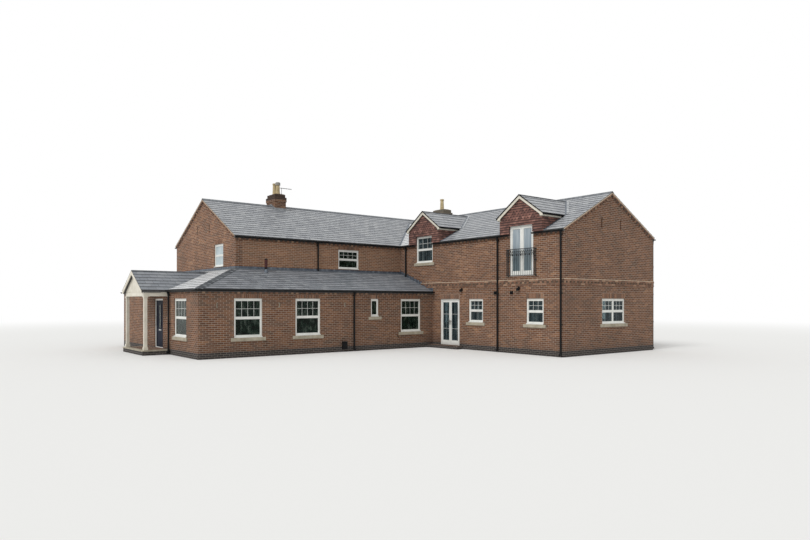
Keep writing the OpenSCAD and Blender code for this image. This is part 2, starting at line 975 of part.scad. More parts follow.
// The railing in front of the upper doors: a front panel and two short side panels
module juliet_balcony() {
    front_w = 1470;
    railing_h = 1100;
    rail = 30;
    stand_out = 160;
    aside = 50;
    color("black") place()
        translate([wing_x0 - stand_out, dormer_ys[1] - aside, dormer_window_low[1]]) {
            translate([0, -front_w / 2, 0]) railing(front_w, railing_h, rail, 13);
            for (y = [-front_w / 2, front_w / 2 - rail])
                translate([rail + bed, y, 0])
                    mirror([1, -1, 0]) railing(stand_out - rail - bed, railing_h, rail, 1);
        }
}

// Doors

// A door frame round an opening, with a low threshold under the leaf
module door_frame(side, face, mid, width, low, high) {
    facing(side, face)
        translate([mid - width / 2, reveal, low])
            difference() {
                cube([width, frame_d, high - low]);
                translate([frame_w, -past, threshold_h])
                    cube([width - 2 * frame_w, frame_d + 2 * past, high - low - threshold_h - frame_w]);
            }
}

module french_door_frame() {
    color("ivory") place()
        door_frame("left", wing_x0, french_y, french_w, french_low, head_h);
}

french_leaf_low = french_low + threshold_h + leaf_gap;
french_leaf_high = head_h - frame_w - leaf_gap;

// A glazed leaf with a deeper bottom rail, its pane sunk on both faces
module glazed_leaf(from, to, low, high) {
    pane_in = (leaf_t - glass_t) / 2;
    bottom_rail = leaf_bar + 60;
    translate([from, reveal, low])
        difference() {
            cube([to - from, leaf_t, high - low]);
            for (depth = [-past, leaf_t - pane_in])
                translate([leaf_bar, depth, bottom_rail])
                    cube([to - from - 2 * leaf_bar, past + pane_in, high - low - leaf_bar - bottom_rail]);
        }
}

module french_door_near() {
    color("ivory") place()
        facing("left", wing_x0)
            glazed_leaf(
                french_y - french_w / 2 + frame_w + leaf_gap, french_y - meeting_gap / 2,
                french_leaf_low, french_leaf_high
            );
}

module french_door_far() {
    color("ivory") place()
        facing("left", wing_x0)
            glazed_leaf(
                french_y + meeting_gap / 2, french_y + french_w / 2 - frame_w - leaf_gap,
                french_leaf_low, french_leaf_high
            );
}

// The step outside the French doors, and the threshold that their frame stands on
module french_doorstep() {
    step_out = 380;
    step_from = -4570;
    step_h = 130;
    color("tan") place() {
        translate([wing_x0 - step_out, step_from, 0])
            cube([step_out, -lean_d - step_from, step_h]);
        translate([wing_x0 - past, french_y - french_w / 2, 0])
            cube([wall_t + past, french_w, step_h]);
        translate([wing_x0, french_y - french_w / 2, 0])
            cube([wall_t, french_w, french_low]);
    }
}

module front_door_frame() {
    color("ivory") place()
        door_frame("left", -lean_d, porch_y, front_door_w, floor_h, door_high);
}

// The front door's leaf, flush with the inner face of its frame
module front_door() {
    low = floor_h + threshold_h + leaf_gap;
    high = door_high - frame_w - leaf_gap;
    half = front_door_w / 2 - frame_w - leaf_gap;
    color("midnightblue") place()
        facing("left", -lean_d)
            translate([porch_y - half, reveal + frame_d - leaf_t, low])
                cube([2 * half, leaf_t, high - low]);
}

// Porch

// A brick platform with a stone edge, and the threshold under the front door
module porch_platform() {
    color("rosybrown") place() {
        translate([porch_x0 - slab_nose, porch_y - porch_w / 2 - slab_nose, 0])
            cube([porch_d + slab_nose, porch_w + 2 * slab_nose, platform_h]);
        translate([-lean_d - past, porch_y - front_door_w / 2, 0])
            cube([wall_t + past, front_door_w, platform_h]);
        translate([-lean_d, porch_y - front_door_w / 2, 0])
            cube([wall_t, front_door_w, floor_h]);
    }
}

// Two posts, the beams that they carry and the boarded gable over them
module porch_frame() {
    beam_h = 160;
    beam_low = lean_wall_h - beam_h;
    color("white") place()
        difference() {
            union() {
                for (side = [-1, 1])
                    translate([porch_x0, porch_y + side * (porch_w - post) / 2 - post / 2, 0]) {
                        translate([0, 0, platform_h]) cube([post, post, beam_low - platform_h]);
                        translate([0, 0, beam_low]) cube([porch_d, post, beam_h]);
                    }
                translate([porch_x0, porch_y - porch_w / 2, beam_low])
                    cube([post, porch_w, beam_h]);
                translate([0, porch_y, 0])
                    facing("left", porch_x0)
                        through_wall(0, post / 2)
                            polygon([
                                [-porch_w / 2, lean_wall_h],
                                [porch_w / 2, lean_wall_h],
                                [0, lean_wall_h + porch_w / 2 * porch_rise]
                            ]);
            }
            lean_side_eaves();
            translate([0, 0, -bed]) difference() {
                below_porch_roof(-far / 2);
                below_porch_roof(roof_t);
            }
        }
}

// The box that the side slope's eaves need
module lean_side_eaves() {
    eaves_dip = 20;
    translate([-lean_d - eaves_out - bed, -lean_d, lean_wall_h - eaves_dip])
        cube([lean_d, 2 * left_depth, roof_t]);
}

// All space below the porch roof, lowered by drop, out as far as it reaches
module below_porch_roof(drop) {
    half = porch_w / 2 + eaves_out;
    translate([x_min - past, porch_y, 0])
        rotate([90, 0, 90])
            linear_extrude(far)
                gable_outline(half, porch_ridge_h - drop - half * porch_rise, porch_rise, 0);
}

// A gabled roof over the porch that dies into the lean-to's slope
module porch_roof() {
    color("slategray") place()
        difference() {
            intersection() {
                below_porch_roof(0);
                translate([x_min, 0, lean_wall_h - roof_t]) cube([-x_min, left_depth, far]);
            }
            below_wide_porch_roof();
            below_lean_side(-bed);
        }
}

// All space below the porch roof's underside, wider than the roof
module below_wide_porch_roof() {
    half = porch_w;
    translate([x_min - past, porch_y, 0])
        rotate([90, 0, 90])
            linear_extrude(far)
                gable_outline(half, porch_ridge_h - roof_t - half * porch_rise, porch_rise, 0);
}

ground_floor();
upper_floor();
left_front_wall();
left_gable_wall();
rear_wall();
right_gable_wall();
wing_right_wall();
wing_gable_wall();
wing_side_wall_near();
wing_side_wall_far();
lean_to_front_wall();
lean_to_side_wall_near();
lean_to_side_wall_far();
lean_to_rear_wall();
door_lintel_walls();
main_roof_front();
main_roof_rear();
wing_roof_left();
wing_roof_right();
lean_to_roof_front();
lean_to_roof_side();
dormer_walls();
dormer_roofs();
ridge_tiles();
chimney_stacks();
chimney_pots();
band_course();
gutters();
pipes();
window_sills();
front_window_frames();
front_window_glass();
back_window_frames();
back_window_glass();
juliet_doors();
juliet_balcony();
french_door_frame();
french_door_near();
french_door_far();
french_doorstep();
front_door_frame();
front_door();
porch_platform();
porch_frame();
porch_roof();
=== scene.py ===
# %% [markdown]
# # A brick house on an L plan
# The real house has two storeys under slate roofs, with a low lean-to wrapped round one corner.
# Its walls, roofs and openings come measured and to scale from the frame. This lesson adds what
# the eye looks for on top of them: bricks, slates, tiles, sashes, lead, gutters and handles.
# The frame is the ruler. Every new piece is worked out in the same metres and laid on it.

# %%  Load the frame
import math
import bpy
import numpy as np
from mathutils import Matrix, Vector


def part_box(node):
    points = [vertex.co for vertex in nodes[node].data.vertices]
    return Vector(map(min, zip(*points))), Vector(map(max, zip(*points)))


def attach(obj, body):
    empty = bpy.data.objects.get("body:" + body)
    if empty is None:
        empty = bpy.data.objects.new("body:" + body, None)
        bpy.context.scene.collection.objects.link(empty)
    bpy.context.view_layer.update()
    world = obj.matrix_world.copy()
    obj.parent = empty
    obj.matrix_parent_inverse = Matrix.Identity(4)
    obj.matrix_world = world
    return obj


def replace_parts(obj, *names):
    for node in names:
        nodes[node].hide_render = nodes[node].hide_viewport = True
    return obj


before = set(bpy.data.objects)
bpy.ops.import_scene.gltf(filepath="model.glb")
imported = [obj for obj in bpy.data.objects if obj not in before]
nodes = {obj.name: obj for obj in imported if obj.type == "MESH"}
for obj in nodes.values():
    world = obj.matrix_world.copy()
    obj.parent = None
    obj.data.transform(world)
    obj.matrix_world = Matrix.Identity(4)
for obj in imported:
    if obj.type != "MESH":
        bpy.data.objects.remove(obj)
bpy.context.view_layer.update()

# %% [markdown]
# ## The house's own axes
# A builder measures a house from one corner. Here it is the corner of the left wing: its gable is
# at x = 0 and its front wall at y = 0. Every wall is then a flat face with three numbers of its
# own: how far along it, how deep behind its face, and how high. Sizes that a piece shares with a
# measured wall are read from the frame, so they can't drift apart from it.

# %%  Planes of the walls
low, high = 0, 1
house_corner = np.array([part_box("left_gable_wall")[low].x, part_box("left_front_wall")[low].y, 0.0])


def house_box(name):
    """A measured node's lowest and highest corner, in house metres."""
    return [np.array(corner) - house_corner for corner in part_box(name)]


wing_x = house_box("wing_side_wall_near")[low][0]
wing_end_x = house_box("wing_right_wall")[high][0]
wing_front_y = house_box("wing_gable_wall")[low][1]
rear_y = house_box("rear_wall")[high][1]
lean_x = house_box("lean_to_side_wall_near")[low][0]
lean_y = house_box("lean_to_front_wall")[low][1]
UP = np.array([0.0, 0.0, 1.0])


def facing(way, plane):
    """A wall's axes: along it to the right as seen from outside, into it, and a point on its face."""
    along, inward = {
        "front": ((1, 0, 0), (0, 1, 0)), "left": ((0, -1, 0), (1, 0, 0)),
        "back": ((-1, 0, 0), (0, -1, 0)), "right": ((0, 1, 0), (-1, 0, 0)),
    }[way]
    return np.array(along, float), np.array(inward, float), plane * np.abs(inward)


WALLS = {
    "left_front": facing("front", 0.0), "lean_front": facing("front", lean_y),
    "wing_gable": facing("front", wing_front_y), "left_gable": facing("left", 0.0),
    "lean_side": facing("left", lean_x), "wing_side": facing("left", wing_x),
    "rear": facing("back", rear_y), "right": facing("right", wing_end_x),
}
left_front, lean_front, wing_gable, left_gable, lean_side, wing_side, rear, right = WALLS.values()


def on_wall(wall, u, d, z):
    """Point = face point + u x along + d x inward + z x up, for arrays u, d and z."""
    along, inward, start = wall
    u, d, z = (np.asarray(v, float)[..., None] for v in np.broadcast_arrays(u, d, z))
    return start + u * along + d * inward + z * UP


def wall_box(wall, lowest, highest):
    """A box as a wall sees it: its two u, its two depths and its two heights."""
    along, inward, start = wall
    u = sorted((lowest @ along, highest @ along))
    d = sorted(((lowest - start) @ inward, (highest - start) @ inward))
    return u, d, [lowest[2], highest[2]]


print("wing side at x", round(wing_x, 3), "gable front at y", round(wing_front_y, 3))

# %% [markdown]
# ## Making meshes from arrays
# Bricks, slates, tiles and glazing bars are all small blocks with six faces, so one helper turns
# an array of corners into a mesh. Each block also carries one random number, its tone, in an
# attribute: the material reads it, so that no two slates have quite the same colour. Pipes, pots
# and boards are rings of points with a skin between them.

# %%  Blocks and the piece helper
BLOCK_FACES = np.array([[0, 3, 2, 1], [4, 5, 6, 7], [0, 1, 5, 4], [1, 2, 6, 5], [2, 3, 7, 6], [3, 0, 4, 7]])
sunk = 0.001
made_pieces = {}


def tag(made, label, values):
    """Stores one number for each point of a piece, which its finish can read."""
    attribute = made.data.attributes.new(label, "FLOAT", "POINT")
    attribute.data.foreach_set("value", np.asarray(values, np.float32))


def piece(name, shapes, finish, body="house", tones=None, smooth=False):
    """Joins (points, faces) shapes in house metres into one mesh, finishes it and lets it ride on a body."""
    material, slot = finish
    points, faces, count = [], [], 0
    for shape_points, shape_faces in shapes:
        points.append(np.reshape(shape_points, (-1, 3)))
        faces += [[v + count for v in face] for face in shape_faces]
        count += len(points[-1])
    mesh = bpy.data.meshes.new(name)
    mesh.from_pydata((np.concatenate(points) + house_corner).tolist(), [], faces)
    made = bpy.data.objects.new(name, mesh)
    if tones is not None:
        tag(made, "tone", tones)
    mesh.polygons.foreach_set("use_smooth", [smooth] * len(mesh.polygons))
    mesh.materials.append(material)
    bpy.context.scene.collection.objects.link(made)
    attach(made, body)
    made_pieces[name] = made
    return made


def blocks(corners):
    """Blocks of 8 corners as one shape: a face's point = 8 x the block's number + the corner's number."""
    corners = np.reshape(corners, (-1, 8, 3))
    return corners, (np.arange(len(corners))[:, None, None] * 8 + BLOCK_FACES).reshape(-1, 4).tolist()


def block_piece(name, corner_sets, finish, body="house", seed=1, heads=()):
    """Joins sets of blocks: a random tone for every block, and "up" = 1 at its head corners."""
    corners = np.concatenate([np.reshape(c, (-1, 8, 3)) for c in corner_sets])
    tones = np.repeat(np.random.default_rng(seed).random(len(corners)), 8)
    made = piece(name, [blocks(corners)], finish, body, tones)
    if heads:
        tag(made, "up", np.isin(np.arange(len(tones)) % 8, heads))
    return made


def boxes(wall, ranges):
    """Corners of boxes on a wall, each from a row: u from, to, depth from, to, height from, to."""
    r = np.asarray(ranges, float).reshape(-1, 6)
    return on_wall(wall, r[:, [0, 1, 1, 0] * 2], r[:, [2, 2, 3, 3] * 2], r[:, [4, 4, 4, 4, 5, 5, 5, 5]])


# %%  Rings, tubes and turned shapes


def skin(rings):
    """Joins rings of n points each with side faces i,j - i,j+1 - i+1,j+1 - i+1,j and closes both ends."""
    rings = np.asarray(rings)
    rows, sides = rings.shape[:2]
    i, j = np.meshgrid(np.arange(rows - 1), np.arange(sides), indexing="ij")
    k = (j + 1) % sides
    walls = np.stack([i * sides + j, i * sides + k, (i + 1) * sides + k, (i + 1) * sides + j], -1)
    last = (rows - 1) * sides
    ends = [list(range(sides))[::-1], list(range(last, last + sides))]
    return rings, walls.reshape(-1, 4).tolist() + ends


def shell(near, far):
    """A bent strip, given as its section out and back at two places: its ends are closed by small quads."""
    n = len(near)
    rings, faces = skin([near, far])
    caps = [[n - 1 - i, n - 2 - i, i + 1, i] for i in range(n // 2 - 1)]
    caps += [[v + n for v in cap[::-1]] for cap in caps]
    return rings, faces[:n] + caps


def tube(path, radius, sides=10):
    """A round bar: at each point of the path, a ring = point + radius x (cos a, sin a) across it."""
    path = np.asarray(path, float)
    heading = np.gradient(path, axis=0)
    heading /= np.linalg.norm(heading, axis=1, keepdims=True)
    steep = np.abs(heading[:, 2]).max() > 0.9
    across = np.cross(heading, np.cross(path[-1] - path[0], [0.3, 0.8, 0.1]) if steep else UP)
    across /= np.linalg.norm(across, axis=1, keepdims=True)
    over = np.cross(heading, across)
    angle = (np.arange(sides) * 2 * np.pi / sides)[None, :, None]
    return skin(path[:, None] + radius * (np.cos(angle) * across[:, None] + np.sin(angle) * over[:, None]))


def turned(at, profile, sides=20):
    """A turned shape: point = at + (r cos a, r sin a, z) for each r, z of the profile."""
    r, z = np.asarray(profile, float).T[:, :, None]
    angle = np.arange(sides) * 2 * np.pi / sides
    return skin(np.stack([r * np.cos(angle), r * np.sin(angle), z + 0 * angle], -1) + at)


print("a block has", len(BLOCK_FACES), "faces, and pieces reach", sunk, "m into the wall behind them")

# %% [markdown]
# ## Camera, lights and floor
# The camera stands where the photographer stood: low, in front of the corner between the wings,
# with its horizon a little below the middle of the picture, which a small lens shift does. A large soft
# sun and an even sky light the house about as brightly as its colours are written. The sky
# shows as white to the camera and in glass, and the floor fades to the same white far away.

# %%  Camera and light
scene = bpy.context.scene
scene.view_settings.view_transform = "Standard"
image_w = 810
focal_px = 640.42
horizon_px = 31.98
camera = bpy.data.objects.new("camera", bpy.data.cameras.new("camera"))
camera.data.sensor_width = 36.0
camera.data.lens = focal_px / image_w * camera.data.sensor_width
camera.data.shift_y = horizon_px / image_w
camera.data.clip_end = 400.0
camera.location = (-16.7715, -23.9825, 2.101)
camera.rotation_euler = (math.radians(90), 0, math.radians(-38.317))
scene.collection.objects.link(camera)
scene.camera = camera

sun = bpy.data.objects.new("sun", bpy.data.lights.new("sun", "SUN"))
sun.data.energy = 1.5
sun.data.angle = math.radians(28)
sun.rotation_euler = (math.radians(46), 0, math.radians(-78))
scene.collection.objects.link(sun)
print("lens", round(camera.data.lens, 2), "mm, shift", round(camera.data.shift_y, 4))

# %%  Node helpers


def fill(tree, made, inputs):
    """Gives each input of a node either a value or another node's output."""
    for key, value in inputs.items():
        if isinstance(value, bpy.types.NodeSocket):
            tree.links.new(value, made.inputs[key])
        else:
            made.inputs[key].default_value = value


def node(tree, kind, inputs=None, **settings):
    """Adds a shader node with its settings and inputs."""
    made = tree.nodes.new("ShaderNode" + kind)
    for key, value in settings.items():
        setattr(made, key, value)
    fill(tree, made, inputs or {})
    return made


def maths(tree, operation, a, b=0.0, clamp=False):
    """One Math node and its result."""
    return node(tree, "Math", {0: a, 1: b}, operation=operation, use_clamp=clamp).outputs[0]


def times(tree, a, b):
    """a x b."""
    return maths(tree, "MULTIPLY", a, b)


def plus(tree, a, b):
    """a + b."""
    return maths(tree, "ADD", a, b)


def minus(tree, a, b):
    """a - b."""
    return maths(tree, "SUBTRACT", a, b)


def mix(tree, share, a, b, how="MIX"):
    """Mixes colour a with colour b by a share from 0 to 1."""
    return node(tree, "Mix", {0: share, 6: a, 7: b}, data_type="RGBA", blend_type=how).outputs[2]


def step_between(tree, value, start, end):
    """0 below start, 1 above end, and a smooth rise between them."""
    return node(tree, "MapRange", {0: value, 1: start, 2: end}, interpolation_type="SMOOTHSTEP").outputs[0]


def colour(code):
    """A web colour such as "#8f5a45" as linear red, green, blue and full alpha."""
    parts = [int(code[i : i + 2], 16) / 255 for i in (1, 3, 5)]
    return (*[p / 12.92 if p <= 0.04045 else ((p + 0.055) / 1.055) ** 2.4 for p in parts], 1.0)


def ramp(tree, value, stops):
    """A colour for each value, from a web colour at each place from 0 to 1."""
    made = node(tree, "ValToRGB", {0: value})
    elements = made.color_ramp.elements
    while len(elements) < len(stops):
        elements.new(0.5)
    for element, (place, code) in zip(elements, stops.items()):
        element.position = place
        element.color = colour(code)
    return made.outputs[0]


def place_on(tree):
    """The place on a piece, in metres: Object coordinates."""
    return node(tree, "TexCoord").outputs["Object"]


def axes_of(tree, vector):
    """A vector's X, Y and Z."""
    return node(tree, "SeparateXYZ", {0: vector}).outputs


def surface_way(tree):
    """The way that the surface faces."""
    return node(tree, "NewGeometry").outputs["Normal"]


def noise(tree, scale, detail, rough=0.5, stretch=None):
    """Soft noise from 0 to 1 over the piece; stretch says how often it repeats along x, y and z."""
    vector = place_on(tree)
    if stretch:
        vector = node(tree, "Mapping", {0: vector, 3: stretch}).outputs[0]
    sockets = {"Vector": vector, "Scale": scale, "Detail": detail, "Roughness": rough}
    return node(tree, "TexNoise", sockets).outputs[0]


def marked(tree, label):
    """The number that a piece stores at each point."""
    return node(tree, "Attribute", attribute_name=label).outputs["Fac"]


print("web grey #808080 is", round(colour("#808080")[0], 3), "in linear light")

# %%  Sky and floor
WHITE = (1, 1, 1, 1)


def background_rays(tree):
    """1 for rays that show the background: the camera's own, and those through or off something."""
    path = node(tree, "LightPath").outputs
    seen = maths(tree, "MAXIMUM", path["Is Camera Ray"], path["Is Glossy Ray"])
    return maths(tree, "MAXIMUM", seen, path["Is Transmission Ray"])


def blended(tree, share, a, b, end):
    """Mixes shader a with shader b by a share and shows the result."""
    both = node(tree, "MixShader", {0: share, 1: a.outputs[0], 2: b.outputs[0]})
    node(tree, end, {0: both.outputs[0]})


world = bpy.data.worlds.new("sky")
world.use_nodes = True
sky = world.node_tree
sky.nodes.clear()
lighting, backdrop = (node(sky, "Background", {"Color": WHITE, "Strength": s}) for s in (0.66, 1.0))
blended(sky, background_rays(sky), lighting, backdrop, "OutputWorld")
scene.world = world

floor_material = bpy.data.materials.new("floor")
floor_material.use_nodes = True
tree = floor_material.node_tree
tree.nodes.clear()
distance = node(tree, "VectorMath", {0: place_on(tree)}, operation="LENGTH").outputs["Value"]
far_away = times(tree, step_between(tree, distance, 24.0, 60.0), background_rays(tree))
matt = node(tree, "BsdfDiffuse", {"Color": colour("#eeeeec")})
glow = node(tree, "Emission", {"Color": WHITE, "Strength": 1.0})
blended(tree, far_away, matt, glow, "OutputMaterial")

reach, floor_z = 220.0, -0.002
floor_corners = [(x * reach, y * reach, floor_z) for x, y in ((-1, -1), (1, -1), (1, 1), (-1, 1))]
floor_mesh = bpy.data.meshes.new("floor")
floor_mesh.from_pydata(floor_corners, [], [(0, 1, 2, 3)])
floor_mesh.materials.append(floor_material)
floor = bpy.data.objects.new("floor", floor_mesh)
scene.collection.objects.link(floor)
print("floor", 2 * reach, "m square")

# %% [markdown]
# ## Finishes
# Some effects come back in many finishes, so each is a node group built once. Mottle gives the
# soft patches that weather leaves, grain gives the fine roughness that a bump needs, and splash
# darkens the foot of the house, where rain throws up dirt. The edge and head group darkens the sides
# of slates and tiles as painted shade over their dark edges, and the head of each, right under the tail
# of the next, as painted shade with some dirt. Lichen grows in small spots, and room side tells a
# wall's plastered face from its brick one.

# %%  Shared effect groups


def effect(name, **inputs):
    """A node group with named inputs, each a number, a colour or a vector, and what those inputs give."""
    tree = bpy.data.node_groups.new(name, "ShaderNodeTree")
    for label, value in inputs.items():
        kind = "Float" if np.isscalar(value) else {3: "Vector", 4: "Color"}[len(value)]
        socket = tree.interface.new_socket(label, in_out="INPUT", socket_type="NodeSocket" + kind)
        socket.default_value = value
    return tree, tree.nodes.new("NodeGroupInput").outputs


def gives(tree, **results):
    """Names what a group puts out, each a colour or a number."""
    for label, result in results.items():
        kind = "Color" if result.type == "RGBA" else "Float"
        tree.interface.new_socket(label, in_out="OUTPUT", socket_type="NodeSocket" + kind)
    fill(tree, tree.nodes.new("NodeGroupOutput"), results)


def use(tree, group, **inputs):
    """Places a group in a material with this material's own values."""
    made = tree.nodes.new("ShaderNodeGroup")
    made.node_tree = group
    fill(tree, made, inputs)
    return made.outputs


mottle, given = effect("mottle", Colour=WHITE, Scale=3.0, Amount=0.2)
mask = step_between(mottle, noise(mottle, given["Scale"], 5.0, 0.6), 0.35, 0.65)
shade = minus(mottle, 1.0, times(mottle, mask, given["Amount"]))
grey = node(mottle, "CombineColor", {0: shade, 1: shade, 2: shade}).outputs[0]
gives(mottle, Colour=mix(mottle, 1.0, given["Colour"], grey, "MULTIPLY"), Mask=mask)

grain, given = effect("grain", Scale=200.0)
gives(grain, Height=noise(grain, given["Scale"], 4.0, 0.65))

splash, given = effect("splash", Colour=WHITE, Reach=0.6, Amount=0.3)
level = maths(splash, "DIVIDE", axes_of(splash, place_on(splash))["Z"], given["Reach"])
fade = maths(splash, "SUBTRACT", plus(splash, noise(splash, 2.2, 5.0), 0.5), level, clamp=True)
share = times(splash, fade, given["Amount"])
gives(splash, Colour=mix(splash, share, given["Colour"], colour("#4b4540")))

edge_and_head_shade, given = effect("edge_and_head_shade", Face=WHITE, Edge=(0, 0, 0, 1), Turn=0.3, From=0.66, Line=0.5)
# Heads darken as painted shade under the next tail, with some dirt; faces turned from up darken as painted
# shade over dark edges.
head_shade_and_dirt = step_between(
    edge_and_head_shade, marked(edge_and_head_shade, "up"), given["From"], plus(edge_and_head_shade, given["From"], 0.22),
)
side_shade_and_edge = maths(edge_and_head_shade, "LESS_THAN", axes_of(edge_and_head_shade, surface_way(edge_and_head_shade))["Z"], given["Turn"])
share = maths(edge_and_head_shade, "MAXIMUM", side_shade_and_edge, times(edge_and_head_shade, head_shade_and_dirt, given["Line"]))
gives(edge_and_head_shade, Colour=mix(edge_and_head_shade, share, given["Face"], given["Edge"]))

lichen, given = effect("lichen", Colour=WHITE, Amount=0.3)
share = times(lichen, step_between(lichen, noise(lichen, 18.0, 6.0, 0.7), 0.62, 0.7), given["Amount"])
gives(lichen, Colour=mix(lichen, share, given["Colour"], colour("#a7a89b")))

room_side, given = effect("room_side", Outward=(0, -1, 0))
turned_out = node(
    room_side, "VectorMath", {0: surface_way(room_side), 1: given["Outward"]}, operation="DOT_PRODUCT",
)
gives(room_side, Mask=maths(room_side, "LESS_THAN", turned_out.outputs["Value"], -0.5))
print("groups:", [group.name for group in (mottle, grain, splash, edge_and_head_shade, lichen, room_side)])

# %% [markdown]
# ## Brickwork
# The walls are stretcher bond: bricks 215 mm long and 65 mm high with 10 mm of pale mortar round
# each, every course shifted by half a brick. Painting that as a picture would blur close up, so
# the shader works it out. Dividing the place along the wall and up it by the brick module gives
# each brick a row and column, and white noise turns those into that brick's own colour. The lowest
# three courses are hard blue-grey bricks, which keep the damp out. Walls keep plaster on the side that
# faces the rooms.

# %%  The brick group
brick_long = 0.225
brick_high = 0.075
plinth_top = 0.225
brickwork, given = effect("brickwork", Warmth=0.5, Joint=colour("#c0b3a1"))
t = brickwork
place, way = axes_of(t, place_on(t)), axes_of(t, surface_way(t))
faces_x, faces_up = (maths(t, "GREATER_THAN", maths(t, "ABSOLUTE", way[axis]), 0.6) for axis in "XZ")


def either(tree, share, a, b):
    """The value a where share is 0 and b where it is 1."""
    return node(tree, "Mix", {0: share, 2: a, 3: b}, data_type="FLOAT").outputs[0]


along = either(t, faces_x, place["X"], place["Y"])
upward = either(t, faces_up, place["Z"], place["Y"])
row = maths(t, "FLOOR", maths(t, "DIVIDE", upward, brick_high))
shift = times(t, maths(t, "FLOORED_MODULO", row, 2.0), brick_long / 2)
length = maths(t, "DIVIDE", plus(t, along, shift), brick_long)
column = maths(t, "FLOOR", length)
across = times(t, minus(t, length, column), brick_long)
above = minus(t, upward, times(t, row, brick_high))
to_side = maths(t, "MINIMUM", across, minus(t, brick_long, across))
to_bed = maths(t, "MINIMUM", above, minus(t, brick_high, above))
ragged = times(t, minus(t, noise(t, 60.0, 3.0), 0.5), 0.005)
is_brick = step_between(t, plus(t, maths(t, "MINIMUM", to_side, to_bed), ragged), 0.0035, 0.0065)
whose = node(t, "CombineXYZ", {0: column, 1: row, 2: faces_x}).outputs[0]
luck = node(t, "TexWhiteNoise", {"Vector": whose}, noise_dimensions="3D").outputs["Value"]
speckle = noise(t, 45.0, 5.0, 0.7)
warmth = plus(t, times(t, luck, 0.62), times(t, noise(t, 0.55, 3.0), given["Warmth"]))
fired = ramp(t, warmth, {
    0.0: "#4e3d36", 0.18: "#604739", 0.42: "#6e4b3a", 0.62: "#7a533d",
    0.8: "#875e45", 0.93: "#9c7456", 1.0: "#655042",
})
fired = mix(t, times(t, step_between(t, speckle, 0.5, 0.72), 0.25), fired, colour("#4a3b34"))
hard = ramp(t, luck, {0.0: "#1d1e22", 0.5: "#2a2b30", 1.0: "#38363c"})
in_plinth = times(t, maths(t, "LESS_THAN", place["Z"], plinth_top), minus(t, 1.0, faces_up))
fired = mix(t, in_plinth, fired, hard)
joint = mix(t, times(t, speckle, 0.4), given["Joint"], colour("#a09485"))
joint = mix(t, in_plinth, joint, colour("#a49d94"))
relief = plus(t, plus(t, 0.6, times(t, luck, 0.25)), times(t, speckle, 0.25))
gives(t, Colour=mix(t, is_brick, joint, fired), Height=times(t, is_brick, relief))
print("brick module", brick_long, "x", brick_high, "m")

# %% [markdown]
# ## Finishes with a shader of their own
# A finish is one Principled shader whose colour, roughness and bump change over the surface. The
# helpers below make the shader and feed it; each finish then says what its colour and relief are.

# %%  The finish helpers and the brick finishes


def new_finish(name, rough=0.6, metal=0.0, **sockets):
    """A material and its tree with one Principled shader, whose plain sockets are set here."""
    material = bpy.data.materials.new(name)
    material.use_nodes = True
    tree = material.node_tree
    shader = next(n for n in tree.nodes if n.type == "BSDF_PRINCIPLED")
    for key, value in {"Roughness": rough, "Metallic": metal, **sockets}.items():
        shader.inputs[key.replace("_", " ")].default_value = value
    return material, tree, shader


def surface(tree, shader, shown, height, depth, strength=0.7):
    """Feeds the shader a colour, and a height from 0 to 1 as relief of this depth in metres."""
    bump = node(tree, "Bump", {"Height": height, "Distance": depth, "Strength": strength})
    fill(tree, shader, {"Base Color": shown, "Normal": bump.outputs[0]})


def fine_grain(tree, scale):
    """The height of fine roughness."""
    return use(tree, grain, Scale=scale)["Height"]


def brick_finish(name, outward=None, warmth=0.5, mixed_in=None, sooty_above=None):
    """Brickwork mixed with a share of a colour, soot above a height, grey on the wing; plaster inside."""
    material, tree, shader = new_finish(name, 0.88, Specular_IOR_Level=0.25)
    wall = use(tree, brickwork, Warmth=warmth)
    outside = use(tree, mottle, Colour=wall["Colour"], Scale=0.9, Amount=0.14)["Colour"]
    outside = use(tree, splash, Colour=outside, Reach=0.7, Amount=0.45)["Colour"]
    relief = wall["Height"]
    if mixed_in:
        outside = mix(tree, mixed_in[0], outside, colour(mixed_in[1]))
    if sooty_above:
        place = axes_of(tree, place_on(tree))
        on_top = step_between(tree, place["Z"], sooty_above, sooty_above + 0.03)
        outside = mix(tree, times(tree, on_top, 0.75), outside, colour("#2c2826"))
        on_wing = step_between(tree, place["X"], 3.0, 3.2)
        outside = mix(tree, times(tree, on_wing, 0.8), outside, colour("#68665c"))
    if outward:
        inside = use(tree, room_side, Outward=outward)["Mask"]
        plaster = use(tree, mottle, Colour=colour("#cfc8ba"), Scale=2.0, Amount=0.08)["Colour"]
        outside = mix(tree, inside, outside, plaster)
        relief = times(tree, relief, minus(tree, 1.0, inside))
    surface(tree, shader, outside, relief, 0.004, 0.5)
    return material


brick_front = brick_finish("brick_front", (0, -1, 0), 0.42, (0.13, "#40352d"))
# The upper front wall's pale share #cfa685 is painted light: it lifts brick in the shade between the lean-to
# roof and the eaves.
brick_front_painted_light = brick_finish("brick_front_painted_light", (0, -1, 0), 0.45, (0.16, "#cfa685"))
brick_left = brick_finish("brick_left", (-1, 0, 0))
brick_side = brick_finish("brick_side", (-1, 0, 0), mixed_in=(0.1, "#40352d"))
brick_back = brick_finish("brick_back", (0, 1, 0))
brick_right = brick_finish("brick_right", (1, 0, 0))
brick_plain = brick_finish("brick_all_round")
brick_stack = brick_finish("brick_stack", None, 0.6, (0.26, "#3a312a"), sooty_above=7.12)


def toned_finish(name, stops, scale, amount, fine):
    """A colour from each block's own tone, with soft patches and fine relief."""
    material, tree, shader = new_finish(name, 0.88, Specular_IOR_Level=0.25)
    patched = use(tree, mottle, Colour=ramp(tree, marked(tree, "tone"), stops), Scale=scale, Amount=amount)
    surface(tree, shader, patched["Colour"], fine_grain(tree, fine), 0.002)
    return material


